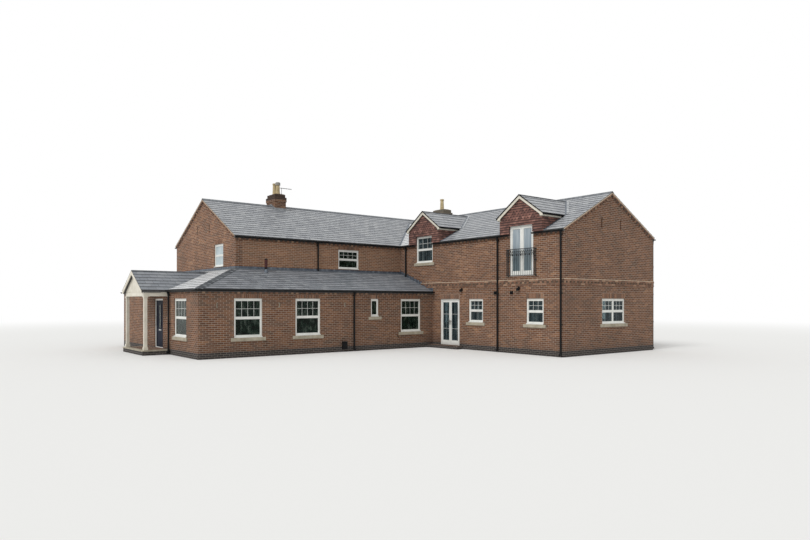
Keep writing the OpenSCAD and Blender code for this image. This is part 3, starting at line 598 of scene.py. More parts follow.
cut_brick = toned_finish(
    "cut_brick", {0.0: "#624c40", 0.4: "#7a5846", 0.75: "#8a634c", 1.0: "#9a775f"}, 40.0, 0.3, 160.0,
)
tooth_brick = toned_finish(
    "tooth_brick", {0.0: "#6a5143", 0.4: "#7f5f4d", 0.75: "#936f5a", 1.0: "#a98a72"}, 40.0, 0.25, 160.0
)
mortar = toned_finish("mortar", {0.0: "#aba091", 1.0: "#bfb4a5"}, 12.0, 0.25, 220.0)
pale_mortar = toned_finish("pale_mortar", {0.0: "#b3a08b", 1.0: "#cbbaa5"}, 12.0, 0.3, 220.0)
print("brick finishes made")

# %% [markdown]
# ## Roof finishes
# Slate splits into flat sheets, so it is smooth with faint ridges down the slope, and it throws back a
# pale sheen where the eye skims along it. A much paler slate on two slopes is painted sheen, and a
# darker one on the lean-to and the porch is partly painted shade. Clay ridge tiles are duller and
# darker. Lead starts bright and weathers to soft grey with pale streaks.

# %%  Slate, ridge tile, lead and hung tile


def slate_finish_of(name, stops, lichen_share, head_line=0.5):
    """Slate: a grey for each slate's tone, soft clouds, spots of lichen, painted shade on its heads and
    sides.
    """
    material, tree, shader = new_finish(name, 0.5, Specular_IOR_Level=0.4)
    tone = marked(tree, "tone")
    cloudy = use(tree, mottle, Colour=ramp(tree, tone, stops), Scale=2.4, Amount=0.07)["Colour"]
    grown = use(tree, lichen, Colour=cloudy, Amount=lichen_share)["Colour"]
    # The edge colour #2f3236 is painted shade on the slates' sides and tails, and at their heads.
    lined = use(tree, edge_and_head_shade, Face=grown, Edge=colour("#2f3236"), Turn=0.3, Line=head_line)["Colour"]
    fill(tree, shader, {"Roughness": plus(tree, times(tree, tone, 0.14), 0.42)})
    surface(tree, shader, lined, fine_grain(tree, 90.0), 0.0015)
    return material


slate = slate_finish_of("slate", {0.0: "#8e9196", 0.35: "#9c9fa3", 0.7: "#a4a7aa", 1.0: "#afb1b3"}, 0.3)
# A much paler slate: painted sheen, the glare of the sky on slopes seen at a skim.
sheen_painted_slate = slate_finish_of(
    "slate_painted_sheen", {0.0: "#c6c9cb", 0.35: "#cfd1d3", 0.7: "#d6d8d9", 1.0: "#dfe0e0"}, 0.1, 0.22,
)
# A darker, bluer slate for the lean-to and the porch: partly the slate's own tone, partly painted shade.
shade_painted_slate = slate_finish_of(
    "slate_painted_shade", {0.0: "#777c82", 0.35: "#80858b", 0.7: "#878b91", 1.0: "#909498"}, 0.2, 0.38,
)

ridge_clay, tree, shader = new_finish("ridge_clay", 0.75, Specular_IOR_Level=0.2)
dark = ramp(tree, marked(tree, "tone"), {0.0: "#2b2d30", 0.3: "#4b4e52", 0.55: "#74787c", 1.0: "#94989c"})
patched = use(tree, mottle, Colour=dark, Scale=7.0, Amount=0.3)["Colour"]
surface(tree, shader, patched, fine_grain(tree, 140.0), 0.002)


def lead_finish_of(name, stops):
    """Weathered lead: streaks down the wall, with a slow ripple left by the beating."""
    material, tree, shader = new_finish(name, 0.5, 0.25)
    streaks = noise(tree, 1.0, 5.0, stretch=(9, 9, 1.2))
    surface(tree, shader, ramp(tree, streaks, stops), fine_grain(tree, 14.0), 0.004, 0.4)
    return material


lead = lead_finish_of("lead", {0.3: "#444b54", 0.5: "#565e68", 0.7: "#747c84"})
pale_lead = lead_finish_of("lead_pale", {0.3: "#74777a", 0.5: "#868a8d", 0.7: "#9b9ea0"})
new_lead = lead_finish_of("lead_new", {0.3: "#a4a8ab", 0.5: "#bbbec0", 0.7: "#d3d5d6"})

hung_tile, tree, shader = new_finish("hung_tile", 0.75)
baked = ramp(tree, marked(tree, "tone"), {0.0: "#573b35", 0.35: "#704c43", 0.7: "#835a4f", 1.0: "#9c7265"})
weathered = use(tree, mottle, Colour=baked, Scale=1.3, Amount=0.12)["Colour"]
# The edge colour #2a1a18 is painted shade on the tiles' undersides and at their heads, under the next tail.
lined = use(
    tree, edge_and_head_shade, Face=weathered, Edge=colour("#2a1a18"), Turn=-0.3, From=0.38, Line=0.8,
)["Colour"]
surface(tree, shader, lined, fine_grain(tree, 180.0), 0.0015)
print("roof finishes made")

# %% [markdown]
# ## Finishes of the trim
# Window profiles are cream-white plastic with a faint emboss. The glass is clear with a slight tint, with
# painted reflections: of trees in the windows, of the sky in the upper doors.
# Rainwater goods are glossy black plastic, the railing is painted iron, and the sills are cast
# stone with a sandy face. The door is smooth dark blue.

# %%  Frames, plastic, iron, stone and doors


def simple_finish(name, stops, rough, scale=6.0, fine=200.0, depth=0.0008, metal=0.0, **sockets):
    """One ramp of colours over soft noise, with fine relief: for trim that has no pattern of its own."""
    material, tree, shader = new_finish(name, rough, metal, **sockets)
    cloud = noise(tree, scale, 6.0, 0.6)
    fill(tree, shader, {"Roughness": plus(tree, times(tree, cloud, 0.2), rough - 0.1)})
    surface(tree, shader, ramp(tree, cloud, stops), fine_grain(tree, fine), depth)
    return material


white_frame = simple_finish("white_frame", {0.3: "#dbdcd7", 0.5: "#e4e5e0", 0.7: "#ecede8"}, 0.38, 3.0)
cream_board = simple_finish("cream_board", {0.3: "#cfc9b9", 0.5: "#d9d3c4", 0.7: "#e2ddd0"}, 0.5, 4.0)
black_plastic = simple_finish(
    "black_plastic", {0.3: "#0e0f10", 0.6: "#151617", 0.8: "#1f2021"}, 0.45, 9.0, Specular_IOR_Level=0.15
)
black_iron = simple_finish(
    "black_iron", {0.3: "#16181a", 0.6: "#1f2224", 0.8: "#2b2b2a"}, 0.42, 20.0, 90.0, 0.001,
    Specular_IOR_Level=0.4
)
cast_stone = simple_finish(
    "cast_stone", {0.25: "#857e6d", 0.45: "#9f9785", 0.6: "#aba391", 0.75: "#b8b09f"}, 0.85, 5.0, 160.0, 0.002
)
buff_clay = simple_finish(
    "buff_clay", {0.25: "#8f7f5f", 0.5: "#b5a37c", 0.7: "#cbba93"}, 0.8, 6.0, 120.0, 0.002,
)
concrete = simple_finish(
    "concrete", {0.3: "#7e7b75", 0.6: "#96938c", 0.8: "#a29f97"}, 0.85, 4.0, 120.0, 0.002,
)
navy_door = simple_finish(
    "navy_door", {0.3: "#0c1322", 0.6: "#10182b", 0.8: "#151f34"}, 0.55, 8.0, 260.0, Specular_IOR_Level=0.12
)
bright_metal = simple_finish("bright_metal", {0.3: "#9a9a98", 0.7: "#c8c7c3"}, 0.28, 30.0, 300.0, 0.0003, 0.9)
# Dark brick: real soot on the chimney caps, painted shade in the strips behind the teeth.
soot_and_shade_brick = simple_finish(
    "soot_and_shade_brick", {0.3: "#54483f", 0.7: "#6a5c50"}, 0.9, 12.0, Specular_IOR_Level=0.2,
)
brown_pipe = simple_finish("brown_pipe", {0.3: "#3d2324", 0.7: "#55302f"}, 0.5, 9.0, Specular_IOR_Level=0.2)
felt = simple_finish("roof_felt", {0.3: "#4a4a4a", 0.7: "#606060"}, 0.9)

boards, tree, shader = new_finish("boards", 0.55)
rings = noise(tree, 1.0, 4.0, stretch=(1.2, 30, 30))
surface(tree, shader, ramp(tree, rings, {0.3: "#8a683f", 0.55: "#a98458", 0.75: "#b99468"}), rings, 0.001)
print("trim finishes made")

# %%  Glass
# Glass of the upper doors: mostly painted reflection of the sky, darker low down and paler high up.
sky_reflection_glass, tree, shader = new_finish("sky_reflection_glass", 0.05, Transmission_Weight=0.2, IOR=1.45)
reflection_streaks = noise(tree, 1.0, 3.0, stretch=(5, 5, 0.6))
low_reflection = ramp(tree, reflection_streaks, {0.3: "#4f6168", 0.5: "#6d7f86", 0.7: "#8b9aa0"})
high_reflection = ramp(tree, reflection_streaks, {0.3: "#8b99a3", 0.5: "#a3b0b8", 0.7: "#bec8cd"})
upper_half = step_between(tree, axes_of(tree, place_on(tree))["Z"], 3.6, 4.5)
surface(tree, shader, mix(tree, upper_half, low_reflection, high_reflection), reflection_streaks, 0.004, 0.3)

glass, tree, shader = new_finish("window_glass", 0.03, Transmission_Weight=0.85, IOR=1.2)
tree_reflection_streaks = noise(tree, 1.0, 4.0, stretch=(9, 9, 4))
hanging = noise(tree, 1.0, 2.0, stretch=(7, 7, 0.5))
# The dark greens are painted reflection of trees in the windows.
painted_tree_reflection = ramp(tree, tree_reflection_streaks, {0.38: "#24372b", 0.52: "#456052", 0.66: "#8b9c8f"})
curtained = ramp(tree, hanging, {0.35: "#46575d", 0.5: "#7e9298", 0.65: "#aebbbb"})
wing_face = wing_x + house_corner[0]
on_wing = step_between(tree, axes_of(tree, place_on(tree))["X"], wing_face - 0.2, wing_face - 0.1)
surface(tree, shader, mix(tree, on_wing, painted_tree_reflection, curtained), noise(tree, 1.1, 2.0), 0.006, 0.35)

frosted, tree, shader = new_finish("frosted_glass", 0.3)
clouded = ramp(tree, noise(tree, 3.0, 4.0), {0.3: "#a3b2b6", 0.7: "#bfcbce"})
surface(tree, shader, clouded, fine_grain(tree, 120.0), 0.002)
print("three kinds of glass made")

# %% [markdown]
# ## Finishes for the measured nodes
# The measured walls, roofs, frames and panes stay as they are. They only change their plain colour
# for a finish, by swapping the material in their own slot.

# %%  Give every node its finish
nodes_of_finish = (
    (concrete, "ground_floor"), (boards, "upper_floor"), (brick_front_painted_light, "left_front_wall"),
    (brick_left, "left_gable_wall"), (brick_back, "rear_wall lean_to_rear_wall"),
    (brick_right, "right_gable_wall wing_right_wall"), (brick_front, "wing_gable_wall lean_to_front_wall"),
    (brick_side, "wing_side_wall_near wing_side_wall_far lean_to_side_wall_near lean_to_side_wall_far"),
    (brick_side, "door_lintel_walls"), (brick_stack, "chimney_stacks"),
    (brick_plain, "french_doorstep porch_platform"),
    (felt, "main_roof_front main_roof_rear wing_roof_left wing_roof_right"),
    (felt, "lean_to_roof_front lean_to_roof_side"),
    (felt, "dormer_roofs porch_roof"), (hung_tile, "dormer_walls"), (ridge_clay, "ridge_tiles"),
    (buff_clay, "chimney_pots"), (cut_brick, "band_course"), (black_plastic, "gutters pipes"),
    (cast_stone, "window_sills"), (glass, "front_window_glass back_window_glass"),
    (black_iron, "juliet_balcony"),
    (white_frame, "front_window_frames back_window_frames juliet_doors french_door_frame"),
    (white_frame, "french_door_near french_door_far front_door_frame"),
    (navy_door, "front_door"), (cream_board, "porch_frame"),
)
node_finish = {name: material for material, names in nodes_of_finish for name in names.split()}


def dress(name, material):
    """Puts a material in every slot of a measured node."""
    mesh = nodes[name].data
    if not mesh.materials:
        mesh.materials.append(material)
    for i in range(len(mesh.materials)):
        mesh.materials[i] = material


for name in nodes:
    dress(name, node_finish[name])
print(len(node_finish), "nodes finished")

# %% [markdown]
# ## Slated roofs
# A slater hangs sheets 500 mm long in courses 250 mm apart, each course half covering the one below
# and shifted by half a slate. Only each slate's lower half shows, and its tail rests on the course
# below, so it stands a little clear and throws a thin shadow. Each slate here is one wedge-shaped
# block: thin at its head and thick at its tail. Slates are cut off along hips, valleys and walls,
# which the edge lines of each slope give as a left and a right limit for every distance up the slope.

# %%  One slope of slates
slate_w = 0.30
gauge = 0.25
lap = 0.02
tail_up = 0.019
head_up = 0.007
under = -0.001
wall_top = 4.91
main_rise = math.tan(math.radians(28))
lean_top = 2.60
lean_rise = math.tan(math.radians(20))
porch_rise = math.tan(math.radians(31))
dormer_rise = math.tan(math.radians(35))


def on_slope(slope, u, run, h):
    """Point on a slope (wall, z0, rise): run in from its wall, at height z0 + run x rise, h off the roof."""
    wall, z0, rise = slope
    flat = 1 / math.hypot(1, rise)
    run, h = np.asarray(run, float), np.asarray(h, float)
    return on_wall(wall, u, run - h * rise * flat, z0 + run * rise + h * flat)


def cut_row(row, width, joint, tail_edges, head_edges, least):
    """The ends of one row's tiles at tail and head: start = (number + half on odd rows) x width, clipped."""
    lowest, highest = min(tail_edges[0], head_edges[0]), max(tail_edges[1], head_edges[1])
    count = math.ceil((highest - lowest) / width) + 3
    starts = (math.floor(lowest / width) - 1 + np.arange(count) + 0.5 * (row % 2)) * width
    a, b = starts + joint, starts + width - joint
    t0, t1 = np.clip(a, *tail_edges), np.clip(b, *tail_edges)
    h0, h1 = np.clip(a, *head_edges), np.clip(b, *head_edges)
    keep = (t1 - t0 > least) | (h1 - h0 > least)
    return t0[keep], np.maximum(t1, t0 + 1e-4)[keep], h0[keep], np.maximum(h1, h0 + 1e-4)[keep]


def slates(slope, run_from, run_to, strips, seed):
    """Blocks of all slates of a slope: each spans its own part of a course, cut to its strip's two edges."""
    flat = 1 / math.hypot(1, slope[2])
    wander = np.random.default_rng(seed)
    found = []
    for row in range(math.ceil((run_to - run_from) / (gauge * flat) - 0.05)):
        tail = run_from + row * gauge * flat
        head = min(tail + (gauge + lap) * flat, run_to)
        for left, right in strips:
            edges = [(np.interp(run, *zip(*left)), np.interp(run, *zip(*right))) for run in (tail, head)]
            if max(b - a for a, b in edges) < 0.01:
                continue
            t0, t1, h0, h1 = cut_row(row, slate_w, 0.003, *edges, 0.004)
            slipped = tail + wander.normal(0, 0.0018, len(t0))
            lift = tail_up + np.abs(wander.normal(0, 0.0012, len(t0)))
            found.append(np.stack([
                on_slope(slope, u, run, h)
                for tail_h, head_h in ((under, under), (lift, head_up))
                for u, run, h in (
                    (t0, slipped, tail_h), (t1, slipped, tail_h), (h1, head, head_h), (h0, head, head_h),
                )
            ], 1))
    return np.concatenate(found)


def straight(value):
    """An edge at the same place for the whole slope."""
    return [(-1.0, value), (20.0, value)]


print("a slate shows", slate_w, "x", gauge, "m")

# %%  Slate the main roofs
verge_out = 0.05
verge_slate_out = verge_out + 0.01
eaves_run = -0.035
left_ridge_run = rear_y / 2
wing_ridge_run = (wing_end_x - wing_x) / 2
wing_mid = (wing_x + wing_end_x) / 2
roof_start, roof_end = -verge_slate_out, wing_end_x + verge_slate_out
near_verge = wing_front_y - verge_slate_out
dormer_places = (-1.90, -7.97)
far_dormer, near_dormer = (-y for y in dormer_places)
dormer_half = 1.125
dormer_eaves_half = 1.185
dormer_ridge_z = 6.43
dormer_eaves_z = dormer_ridge_z - dormer_eaves_half * dormer_rise
dormer_eaves_run = (dormer_eaves_z - wall_top) / main_rise
dormer_ridge_run = (dormer_ridge_z - wall_top) / main_rise
wing_slope = (wing_side, wall_top, main_rise)


def beside_dormer(middle, side):
    """The wing slope's edge along a dormer: its cheek, then the valley up to its ridge."""
    cheek = middle + side * dormer_half
    return [
        (-1.0, cheek), (dormer_eaves_run, cheek),
        (dormer_eaves_run + 0.001, middle + side * dormer_eaves_half),
        (dormer_ridge_run, middle), (20.0, middle),
    ]


def wing_edge(start, way):
    """The edge where the left wing's front slope meets the right wing: one along for each step up."""
    top = wing_ridge_run
    return [(-1, start), (0, start), (top, start + way * top), (20, start + way * top)]


# Head corners carry "up" = 1, which the finish darkens as painted shade under the next course's tail.
slate_heads = (2, 3, 6, 7)
slate_finish = (slate, "slate")
sheen_painted_slate_finish = (sheen_painted_slate, "slate")
shade_painted_slate_finish = (shade_painted_slate, "slate")
main_slopes = (
    ("main_front_slates", left_front, left_ridge_run, 1, slate_finish, [
        (straight(roof_start), wing_edge(wing_x, 1)), (wing_edge(wing_end_x, -1), straight(roof_end)),
    ]),
    (
        "main_rear_slates", rear, left_ridge_run, 2, slate_finish,
        [(straight(-roof_end), straight(-roof_start))],
    ),
    # The strip beside the valley takes the paler slate as painted sheen.
    ("valley_slates", wing_side, wing_ridge_run, 11, sheen_painted_slate_finish, [
        ([(0, 0), (wing_ridge_run, -wing_ridge_run)], beside_dormer(far_dormer, -1)),
    ]),
    ("wing_left_slates", wing_side, wing_ridge_run, 3, slate_finish, [
        (beside_dormer(far_dormer, 1), beside_dormer(near_dormer, -1)),
        (beside_dormer(near_dormer, 1), straight(-near_verge)),
    ]),
    ("wing_right_slates", right, wing_ridge_run, 4, slate_finish, [
        (straight(near_verge), [(0, 0), (wing_ridge_run, wing_ridge_run)]),
    ]),
)
for name, wall, ridge_at, seed, finish, strips in main_slopes:
    found = slates((wall, wall_top, main_rise), eaves_run, ridge_at, strips, seed)
    block_piece(name, [found], finish, seed=len(name), heads=slate_heads)
    print(name, len(found))

# %%  Slate the lean-to, the porch and the dormers
lean_run = -lean_y
front_lean_slope = (lean_front, lean_top, lean_rise)
side_lean_slope = (lean_side, lean_top, lean_rise)
porch_middle = 1.97
porch_half = 1.33
porch_ridge_z = 3.381
porch_front_x = -3.6
porch_slates_x = porch_front_x - 0.01
porch_ridge_run = (porch_ridge_z - lean_top) / lean_rise
dormer_front_x = wing_x - 0.14


def beside_porch(side):
    """The lean-to's edge along the valley of the porch roof, as u = -y."""
    foot = -porch_middle + side * (porch_ridge_z - lean_top) / porch_rise
    return [(-1.0, foot), (0.0, foot), (porch_ridge_run, -porch_middle), (20.0, -porch_middle)]


def small_gable(middle, half, ridge_z, rise, front_x, behind, seed):
    """Two slopes, from front_x to the roof behind: x = its wall's x + (height - its foot) / its rise."""
    behind_x, behind_z, behind_rise = behind
    eaves_z = ridge_z - half * rise
    meets = [(run, behind_x + (eaves_z + run * rise - behind_z) / behind_rise) for run in (0.0, half)]
    front_slope = (facing("front", middle - half), eaves_z, rise)
    back_slope = (facing("back", middle + half), eaves_z, rise)
    mirrored = [(run, -x) for run, x in meets]
    return [
        slates(front_slope, -0.02, half, [(straight(front_x), meets)], seed),
        slates(back_slope, -0.02, half, [(mirrored, straight(-front_x))], seed + 1),
    ]


small_roofs = (
    # The lean-to's front and the porch take the darker slate, partly as painted shade.
    ("lean_to_slates", 21, shade_painted_slate_finish, [slates(
        front_lean_slope, eaves_run, lean_run, [([(0, lean_x), (lean_run, 0), (20, 0)], straight(wing_x))], 5,
    )]),
    # The lean-to's side slope takes the paler slate as painted sheen.
    ("lean_side_slates", 24, sheen_painted_slate_finish, [slates(side_lean_slope, eaves_run, lean_run, [
        (straight(-rear_y - verge_slate_out), beside_porch(-1)),
        (beside_porch(1), [(0, -lean_y), (lean_run, 0), (20, 0)]),
    ], 6)]),
    ("porch_slates", 22, shade_painted_slate_finish, small_gable(
        porch_middle, porch_half, porch_ridge_z, porch_rise, porch_slates_x, (lean_x, lean_top, lean_rise), 7,
    )),
    ("dormer_slates", 23, slate_finish, [slope for middle in dormer_places for slope in small_gable(
        middle, dormer_eaves_half, dormer_ridge_z, dormer_rise, dormer_front_x,
        (wing_x, wall_top, main_rise), 9,
    )]),
)
for name, seed, finish, found in small_roofs:
    block_piece(name, found, finish, seed=seed, heads=slate_heads)
    print(name, sum(map(len, found)))

# %% [markdown]
# ## Ridge and hip tiles
# Rounded clay tiles about 450 mm long cap every ridge and the hip. Each one is a short bent shell. Its
# section is a hyperbola: level on top and running down until its edges rest on the slates. Separate tiles,
# with a thin joint between them, show the row of segments that a single long bar would lose. The hip's
# are shorter, darker and wider apart, over a pale bed of mortar that shows in their joints. They stand
# for the measured ridge bars.

# %%  Ridge tiles
tile_thick = 0.016
bend_r = 0.045
edge_over_slate = 0.006
tile_half, tile_long, tile_gap = 0.125, 0.45, 0.006
main_tile_up, main_tile_shade = 0.055, 0.7


def ridge_run(start, end, rise, half, up, long, gap):
    """Shells along a line: height = up - fall x (root of (c squared + r squared) - r), c across the ridge."""
    start, end = np.array(start, float), np.array(end, float)
    length = np.linalg.norm(end - start)
    line = (end - start) / length
    across = np.cross(line, UP)
    across /= np.linalg.norm(across)
    over = np.cross(across, line)
    c = np.linspace(-half, half, 9)
    fall = (up + rise * half - head_up - edge_over_slate - tile_thick) / (math.hypot(half, bend_r) - bend_r)
    bend = up - fall * (np.hypot(c, bend_r) - bend_r)
    out_and_back = np.concatenate([c, c[::-1]])[:, None] * across
    out_and_back = out_and_back + np.concatenate([bend, bend[::-1] - tile_thick])[:, None] * over
    ends = np.linspace(0, length, max(1, round(length / long)) + 1)
    return [
        shell(start + a * line + out_and_back, start + b * line + out_and_back)
        for a, b in zip(ends[:-1] + gap, ends[1:] - gap)
    ]


def level_line(way, a, b, fixed, z):
    """A level line from a to b, along x or along y."""
    return [(a, fixed, z), (b, fixed, z)] if way == "x" else [(fixed, a, z), (fixed, b, z)]


ridge_z = wall_top + left_ridge_run * main_rise
wing_ridge_z = wall_top + wing_ridge_run * main_rise
lean_ridge_z = lean_top + lean_run * lean_rise
porch_ridge_end = lean_x + porch_ridge_run
hip = ((lean_x, lean_y, lean_top), (0, 0, lean_ridge_z))
hip_rise = lean_rise / math.sqrt(2)
ridge_lines = [
    (*level_line("x", roof_start, roof_end, left_ridge_run, ridge_z),
     main_rise, tile_half, main_tile_up, tile_long, tile_gap, main_tile_shade),
    (*level_line("y", near_verge, wing_ridge_run, wing_mid, wing_ridge_z),
     main_rise, tile_half, main_tile_up, tile_long, tile_gap, main_tile_shade),
    (*hip, hip_rise, 0.18, 0.034, 0.37, 0.034, 0.38),
    (*hip, hip_rise, 0.175, 0.02, 10.0, tile_gap, 1.3),
    (*level_line("x", porch_slates_x, porch_ridge_end, porch_middle, porch_ridge_z),
     porch_rise, 0.11, 0.022, tile_long, tile_gap, 0.4),
]
for middle in dormer_places:
    line = level_line("x", dormer_front_x, wing_x + dormer_ridge_run, middle, dormer_ridge_z)
    ridge_lines.append((*line, dormer_rise, 0.11, 0.012, tile_long, tile_gap, 0.25))
wander = np.random.default_rng(5)
ridge_shells, shades = [], []
for *line, shade in ridge_lines:
    shells = ridge_run(*line)
    ridge_shells += shells
    shades += [shade + 0.2 * (wander.random() - 0.5) for made in shells]
points_each = ridge_shells[0][0].size // 3
ridge_tones = np.repeat(shades, points_each)
ridge_caps = piece("ridge_caps", ridge_shells, (ridge_clay, "ridge_tile"), tones=ridge_tones)
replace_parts(ridge_caps, "ridge_tiles")
print(len(ridge_shells), "ridge and hip tiles")

# %% [markdown]
# ## Lead at the joints
# Where two roofs meet, or a roof meets a wall, slates alone would leak, so lead closes the joint. It
# lines the valleys, shows as pale steps beside the dormers, turns up the wall above the lean-to and
# steps up the brick courses of the wing's side. Strips of lead are thin blocks laid along those lines.

# %%  Valleys
lead_thick = 0.004


def lead_strip(a, b, half, lift=0.012):
    """A flat strip from a to b: point = end + c x across + h x over, with c up to half on each side."""
    a, b = np.array(a, float), np.array(b, float)
    line = (b - a) / np.linalg.norm(b - a)
    across = np.cross(line, UP)
    across /= np.linalg.norm(across)
    over = np.cross(across, line)
    c = np.array([-half, half, half, -half] * 2)[:, None]
    h = np.repeat([lift - lead_thick, lift], 4)[:, None]
    return np.array([a, a, b, b] * 2) + c * across + h * over


def lead_sheet(slope, u, run, h):
    """A flat sheet on a slope between two u, two runs and two heights off it."""
    return on_slope(slope, np.take(u, [0, 1, 1, 0] * 2), np.take(run, [0, 0, 1, 1] * 2), np.repeat(h, 4))


def beside_valley(middle, side, share, long, near, far, top_h):
    """Lead on the wing's slope beside a dormer's valley: from a share of its length, near to far off it."""
    part = share + np.array([0, 0, long, long])
    run = dormer_eaves_run + (dormer_ridge_run - dormer_eaves_run) * part
    edge = -middle - side * dormer_eaves_half * (1 - part)
    out = np.array([far, near, near, far] if side > 0 else [near, far, far, near])
    return on_slope(wing_slope, np.tile(edge - side * out, 2), np.tile(run, 2), np.repeat([0.01, top_h], 4))


wing_top_point = (wing_mid, wing_ridge_run, wing_ridge_z)
porch_top_point = (porch_ridge_end, porch_middle, porch_ridge_z)
strips = [lead_strip((x, 0, wall_top), wing_top_point, 0.07, 0.032) for x in (wing_x, wing_end_x)]
strips += [
    lead_strip((lean_x, porch_middle + y, lean_top), porch_top_point, 0.045)
    for y in (-porch_half, porch_half)
]
soakers = []
for middle in dormer_places:
    for side in (-1, 1):
        foot = (wing_x + dormer_eaves_run, middle + side * dormer_eaves_half, dormer_eaves_z)
        strips.append(lead_strip(foot, (wing_x + dormer_ridge_run, middle, dormer_ridge_z), 0.075, 0.026))
        strips.append(beside_valley(middle, side, 0.0, 0.96, 0.0, 0.085, 0.033))
        soakers += [
            beside_valley(middle, side, share, 0.075, 0.07, 0.18, 0.036)
            for share in np.arange(0.02, 0.9, 0.12)
        ]
        cheek = -middle - side * (dormer_half + 0.06)
        beside = (cheek - 0.07, cheek + 0.07)
        strips.append(lead_sheet(wing_slope, beside, (0.0, dormer_eaves_run), (0.01, 0.021)))
lead_finish = (lead, "slate")
block_piece("valley_lead", strips, lead_finish)
block_piece("dormer_soakers", soakers, (new_lead, "slate"))
print(len(strips), "strips and", len(soakers), "steps beside the dormers")

# %%  Flashings on the walls
apron = (-0.014, 0.0, lean_ridge_z - 0.01, lean_ridge_z + 0.09)
apron_run, apron_h = (lean_run - 0.15, lean_run), (0.012, 0.018)
step_u = brick_high / lean_rise
steps = []
for u in lean_run - np.arange(int(lean_run / step_u) + 1) * step_u:
    z = lean_top + (lean_run - u) * lean_rise
    steps.append([u - step_u, u + 0.02, -0.012, 0.0, z, z + brick_high + 0.11])
flashings = [
    boxes(left_front, [-0.02, wing_x, *apron]), boxes(left_gable, [-rear_y, 0.02, *apron]),
    lead_sheet(front_lean_slope, (0.0, wing_x), apron_run, apron_h),
    lead_sheet(side_lean_slope, (-rear_y, 0.0), apron_run, apron_h),
    boxes(wing_side, steps),
]
block_piece("wall_flashing", flashings, lead_finish)
print(len(steps), "steps of lead up the wing's side")

# %% [markdown]
# ## Brick trim
# Under the eaves and up the gables, every other brick stands out like a tooth. Round the wing runs
# a band: a course that stands out, teeth with dark gaps between them, and a second course below.
# Single bricks that stand out have to be real blocks, because their edges and shadows are what shows.
# The gaps between them are deep and always in the shade, so a strip of darker brick lies behind the teeth as
# painted shade.

# %%  Teeth under the eaves
tooth = 0.1025
tooth_step = 0.225
tooth_out = 0.035
shade_in = -0.003
shade_strips = []


def teeth(wall, start, end, z0, z1, out=tooth_out):
    """Every other header along a wall, standing out from its face."""
    count = int((end - start) / tooth_step)
    u = start + (end - start - count * tooth_step + tooth) / 2 + np.arange(count) * tooth_step
    # A strip of darker brick behind each run of teeth: painted shade in the gaps.
    shade_strips.append(boxes(wall, [start, end, shade_in, sunk, z0, z1]))
    return boxes(wall, [[a, a + tooth, -out, sunk, z0, z1] for a in u])


under_gutter = 4.79
under_lean_gutter = 2.485
clear = 0.05
main_teeth = (under_gutter - 0.07, under_gutter)
lean_teeth = (under_lean_gutter - 0.065, under_lean_gutter, 0.028)
porch_ends = (-3.35, -0.62)
tooth_runs = (
    (left_front, clear, wing_x - clear, main_teeth), (rear, -wing_end_x + clear, -clear, main_teeth),
    (right, wing_front_y + clear, -clear, main_teeth),
    (lean_front, lean_x + clear, wing_x - clear, lean_teeth),
    (lean_side, porch_ends[1], -lean_y - clear, lean_teeth),
    (lean_side, -rear_y + clear, porch_ends[0], lean_teeth),
    (wing_side, clear, far_dormer - 0.62, main_teeth),
    (wing_side, far_dormer + 0.62, near_dormer - 0.63, main_teeth),
    (wing_side, near_dormer + 0.63, -wing_front_y - clear, main_teeth),
)
trim = [teeth(wall, start, end, *band) for wall, start, end, band in tooth_runs]
print(sum(map(len, trim)), "teeth under the gutters")

# %%  Teeth and mortar up the gables
slab_depth = 0.097
mortar_low = -0.045
edge_out = verge_out + 0.004
header = 0.0905
tooth_heights = (-slab_depth - 0.068, -slab_depth - 0.001)
gables = (
    (left_gable, 0.0, -left_ridge_run), (left_gable, -rear_y, -left_ridge_run),
    (wing_gable, wing_x, wing_mid),
    (wing_gable, wing_end_x, wing_mid), (right, rear_y, left_ridge_run), (right, 0.0, left_ridge_run),
)


def rake_boxes(wall, eaves, ridge, rows):
    """Boxes along a gable's slope from rows: two distances, two depths and two heights off the slope."""
    flat = 1 / math.hypot(1, main_rise)
    sign = 1.0 if ridge > eaves else -1.0
    r = np.asarray(rows, float).reshape(-1, 6)
    s = r[:, ([0, 1, 1, 0] if sign > 0 else [1, 0, 0, 1]) * 2]
    h = r[:, [4, 4, 4, 4, 5, 5, 5, 5]]
    u = eaves + sign * (s - h * main_rise * flat)
    return on_wall(wall, u, r[:, [2, 2, 3, 3] * 2], wall_top + s * main_rise + h * flat)


bedding = []
for gable in gables:
    run = abs(gable[2] - gable[1])
    trim.append(rake_boxes(*gable, [
        [s, min(s + header, run), -edge_out, -sunk, -slab_depth, mortar_low]
        for s in np.arange(0.02, run - 0.02, 0.0993)
    ]))
    trim.append(rake_boxes(*gable, [
        [s, s + header, -tooth_out, sunk, *tooth_heights]
        for s in np.arange(0.12, run - 0.1, tooth_step * 0.883)
    ]))
    bedding.append(rake_boxes(*gable, [
        [-0.03, run, -edge_out - 0.006, 0.0, mortar_low - 0.001, -0.0005],
        [0.0, run, -edge_out + 0.004, -0.002, -slab_depth + 0.002, mortar_low],
    ]))
    shade_strips.append(rake_boxes(*gable, [0.1, run - 0.06, shade_in, sunk, *tooth_heights]))
brick_trim_finish = (tooth_brick, "band_brick")
block_piece("eaves_teeth", trim, brick_trim_finish, seed=31)
block_piece("verge_mortar", bedding, (pale_mortar, "brick"), seed=32)
print(sum(map(len, trim)), "bricks stand out under the roofs")

# %%  The band round the wing
band_bottom = 2.765
band_out = wing_front_y - house_box("band_course")[low][1]
brick_face_high = 0.065


def course(wall, start, end, z0, out, long=0.215):
    """A course of whole bricks with 10 mm between them."""
    u = np.arange(start, end - 0.01, long + 0.01)
    return boxes(wall, [[a, min(a + long, end), -out, sunk, z0, z0 + brick_face_high] for a in u])


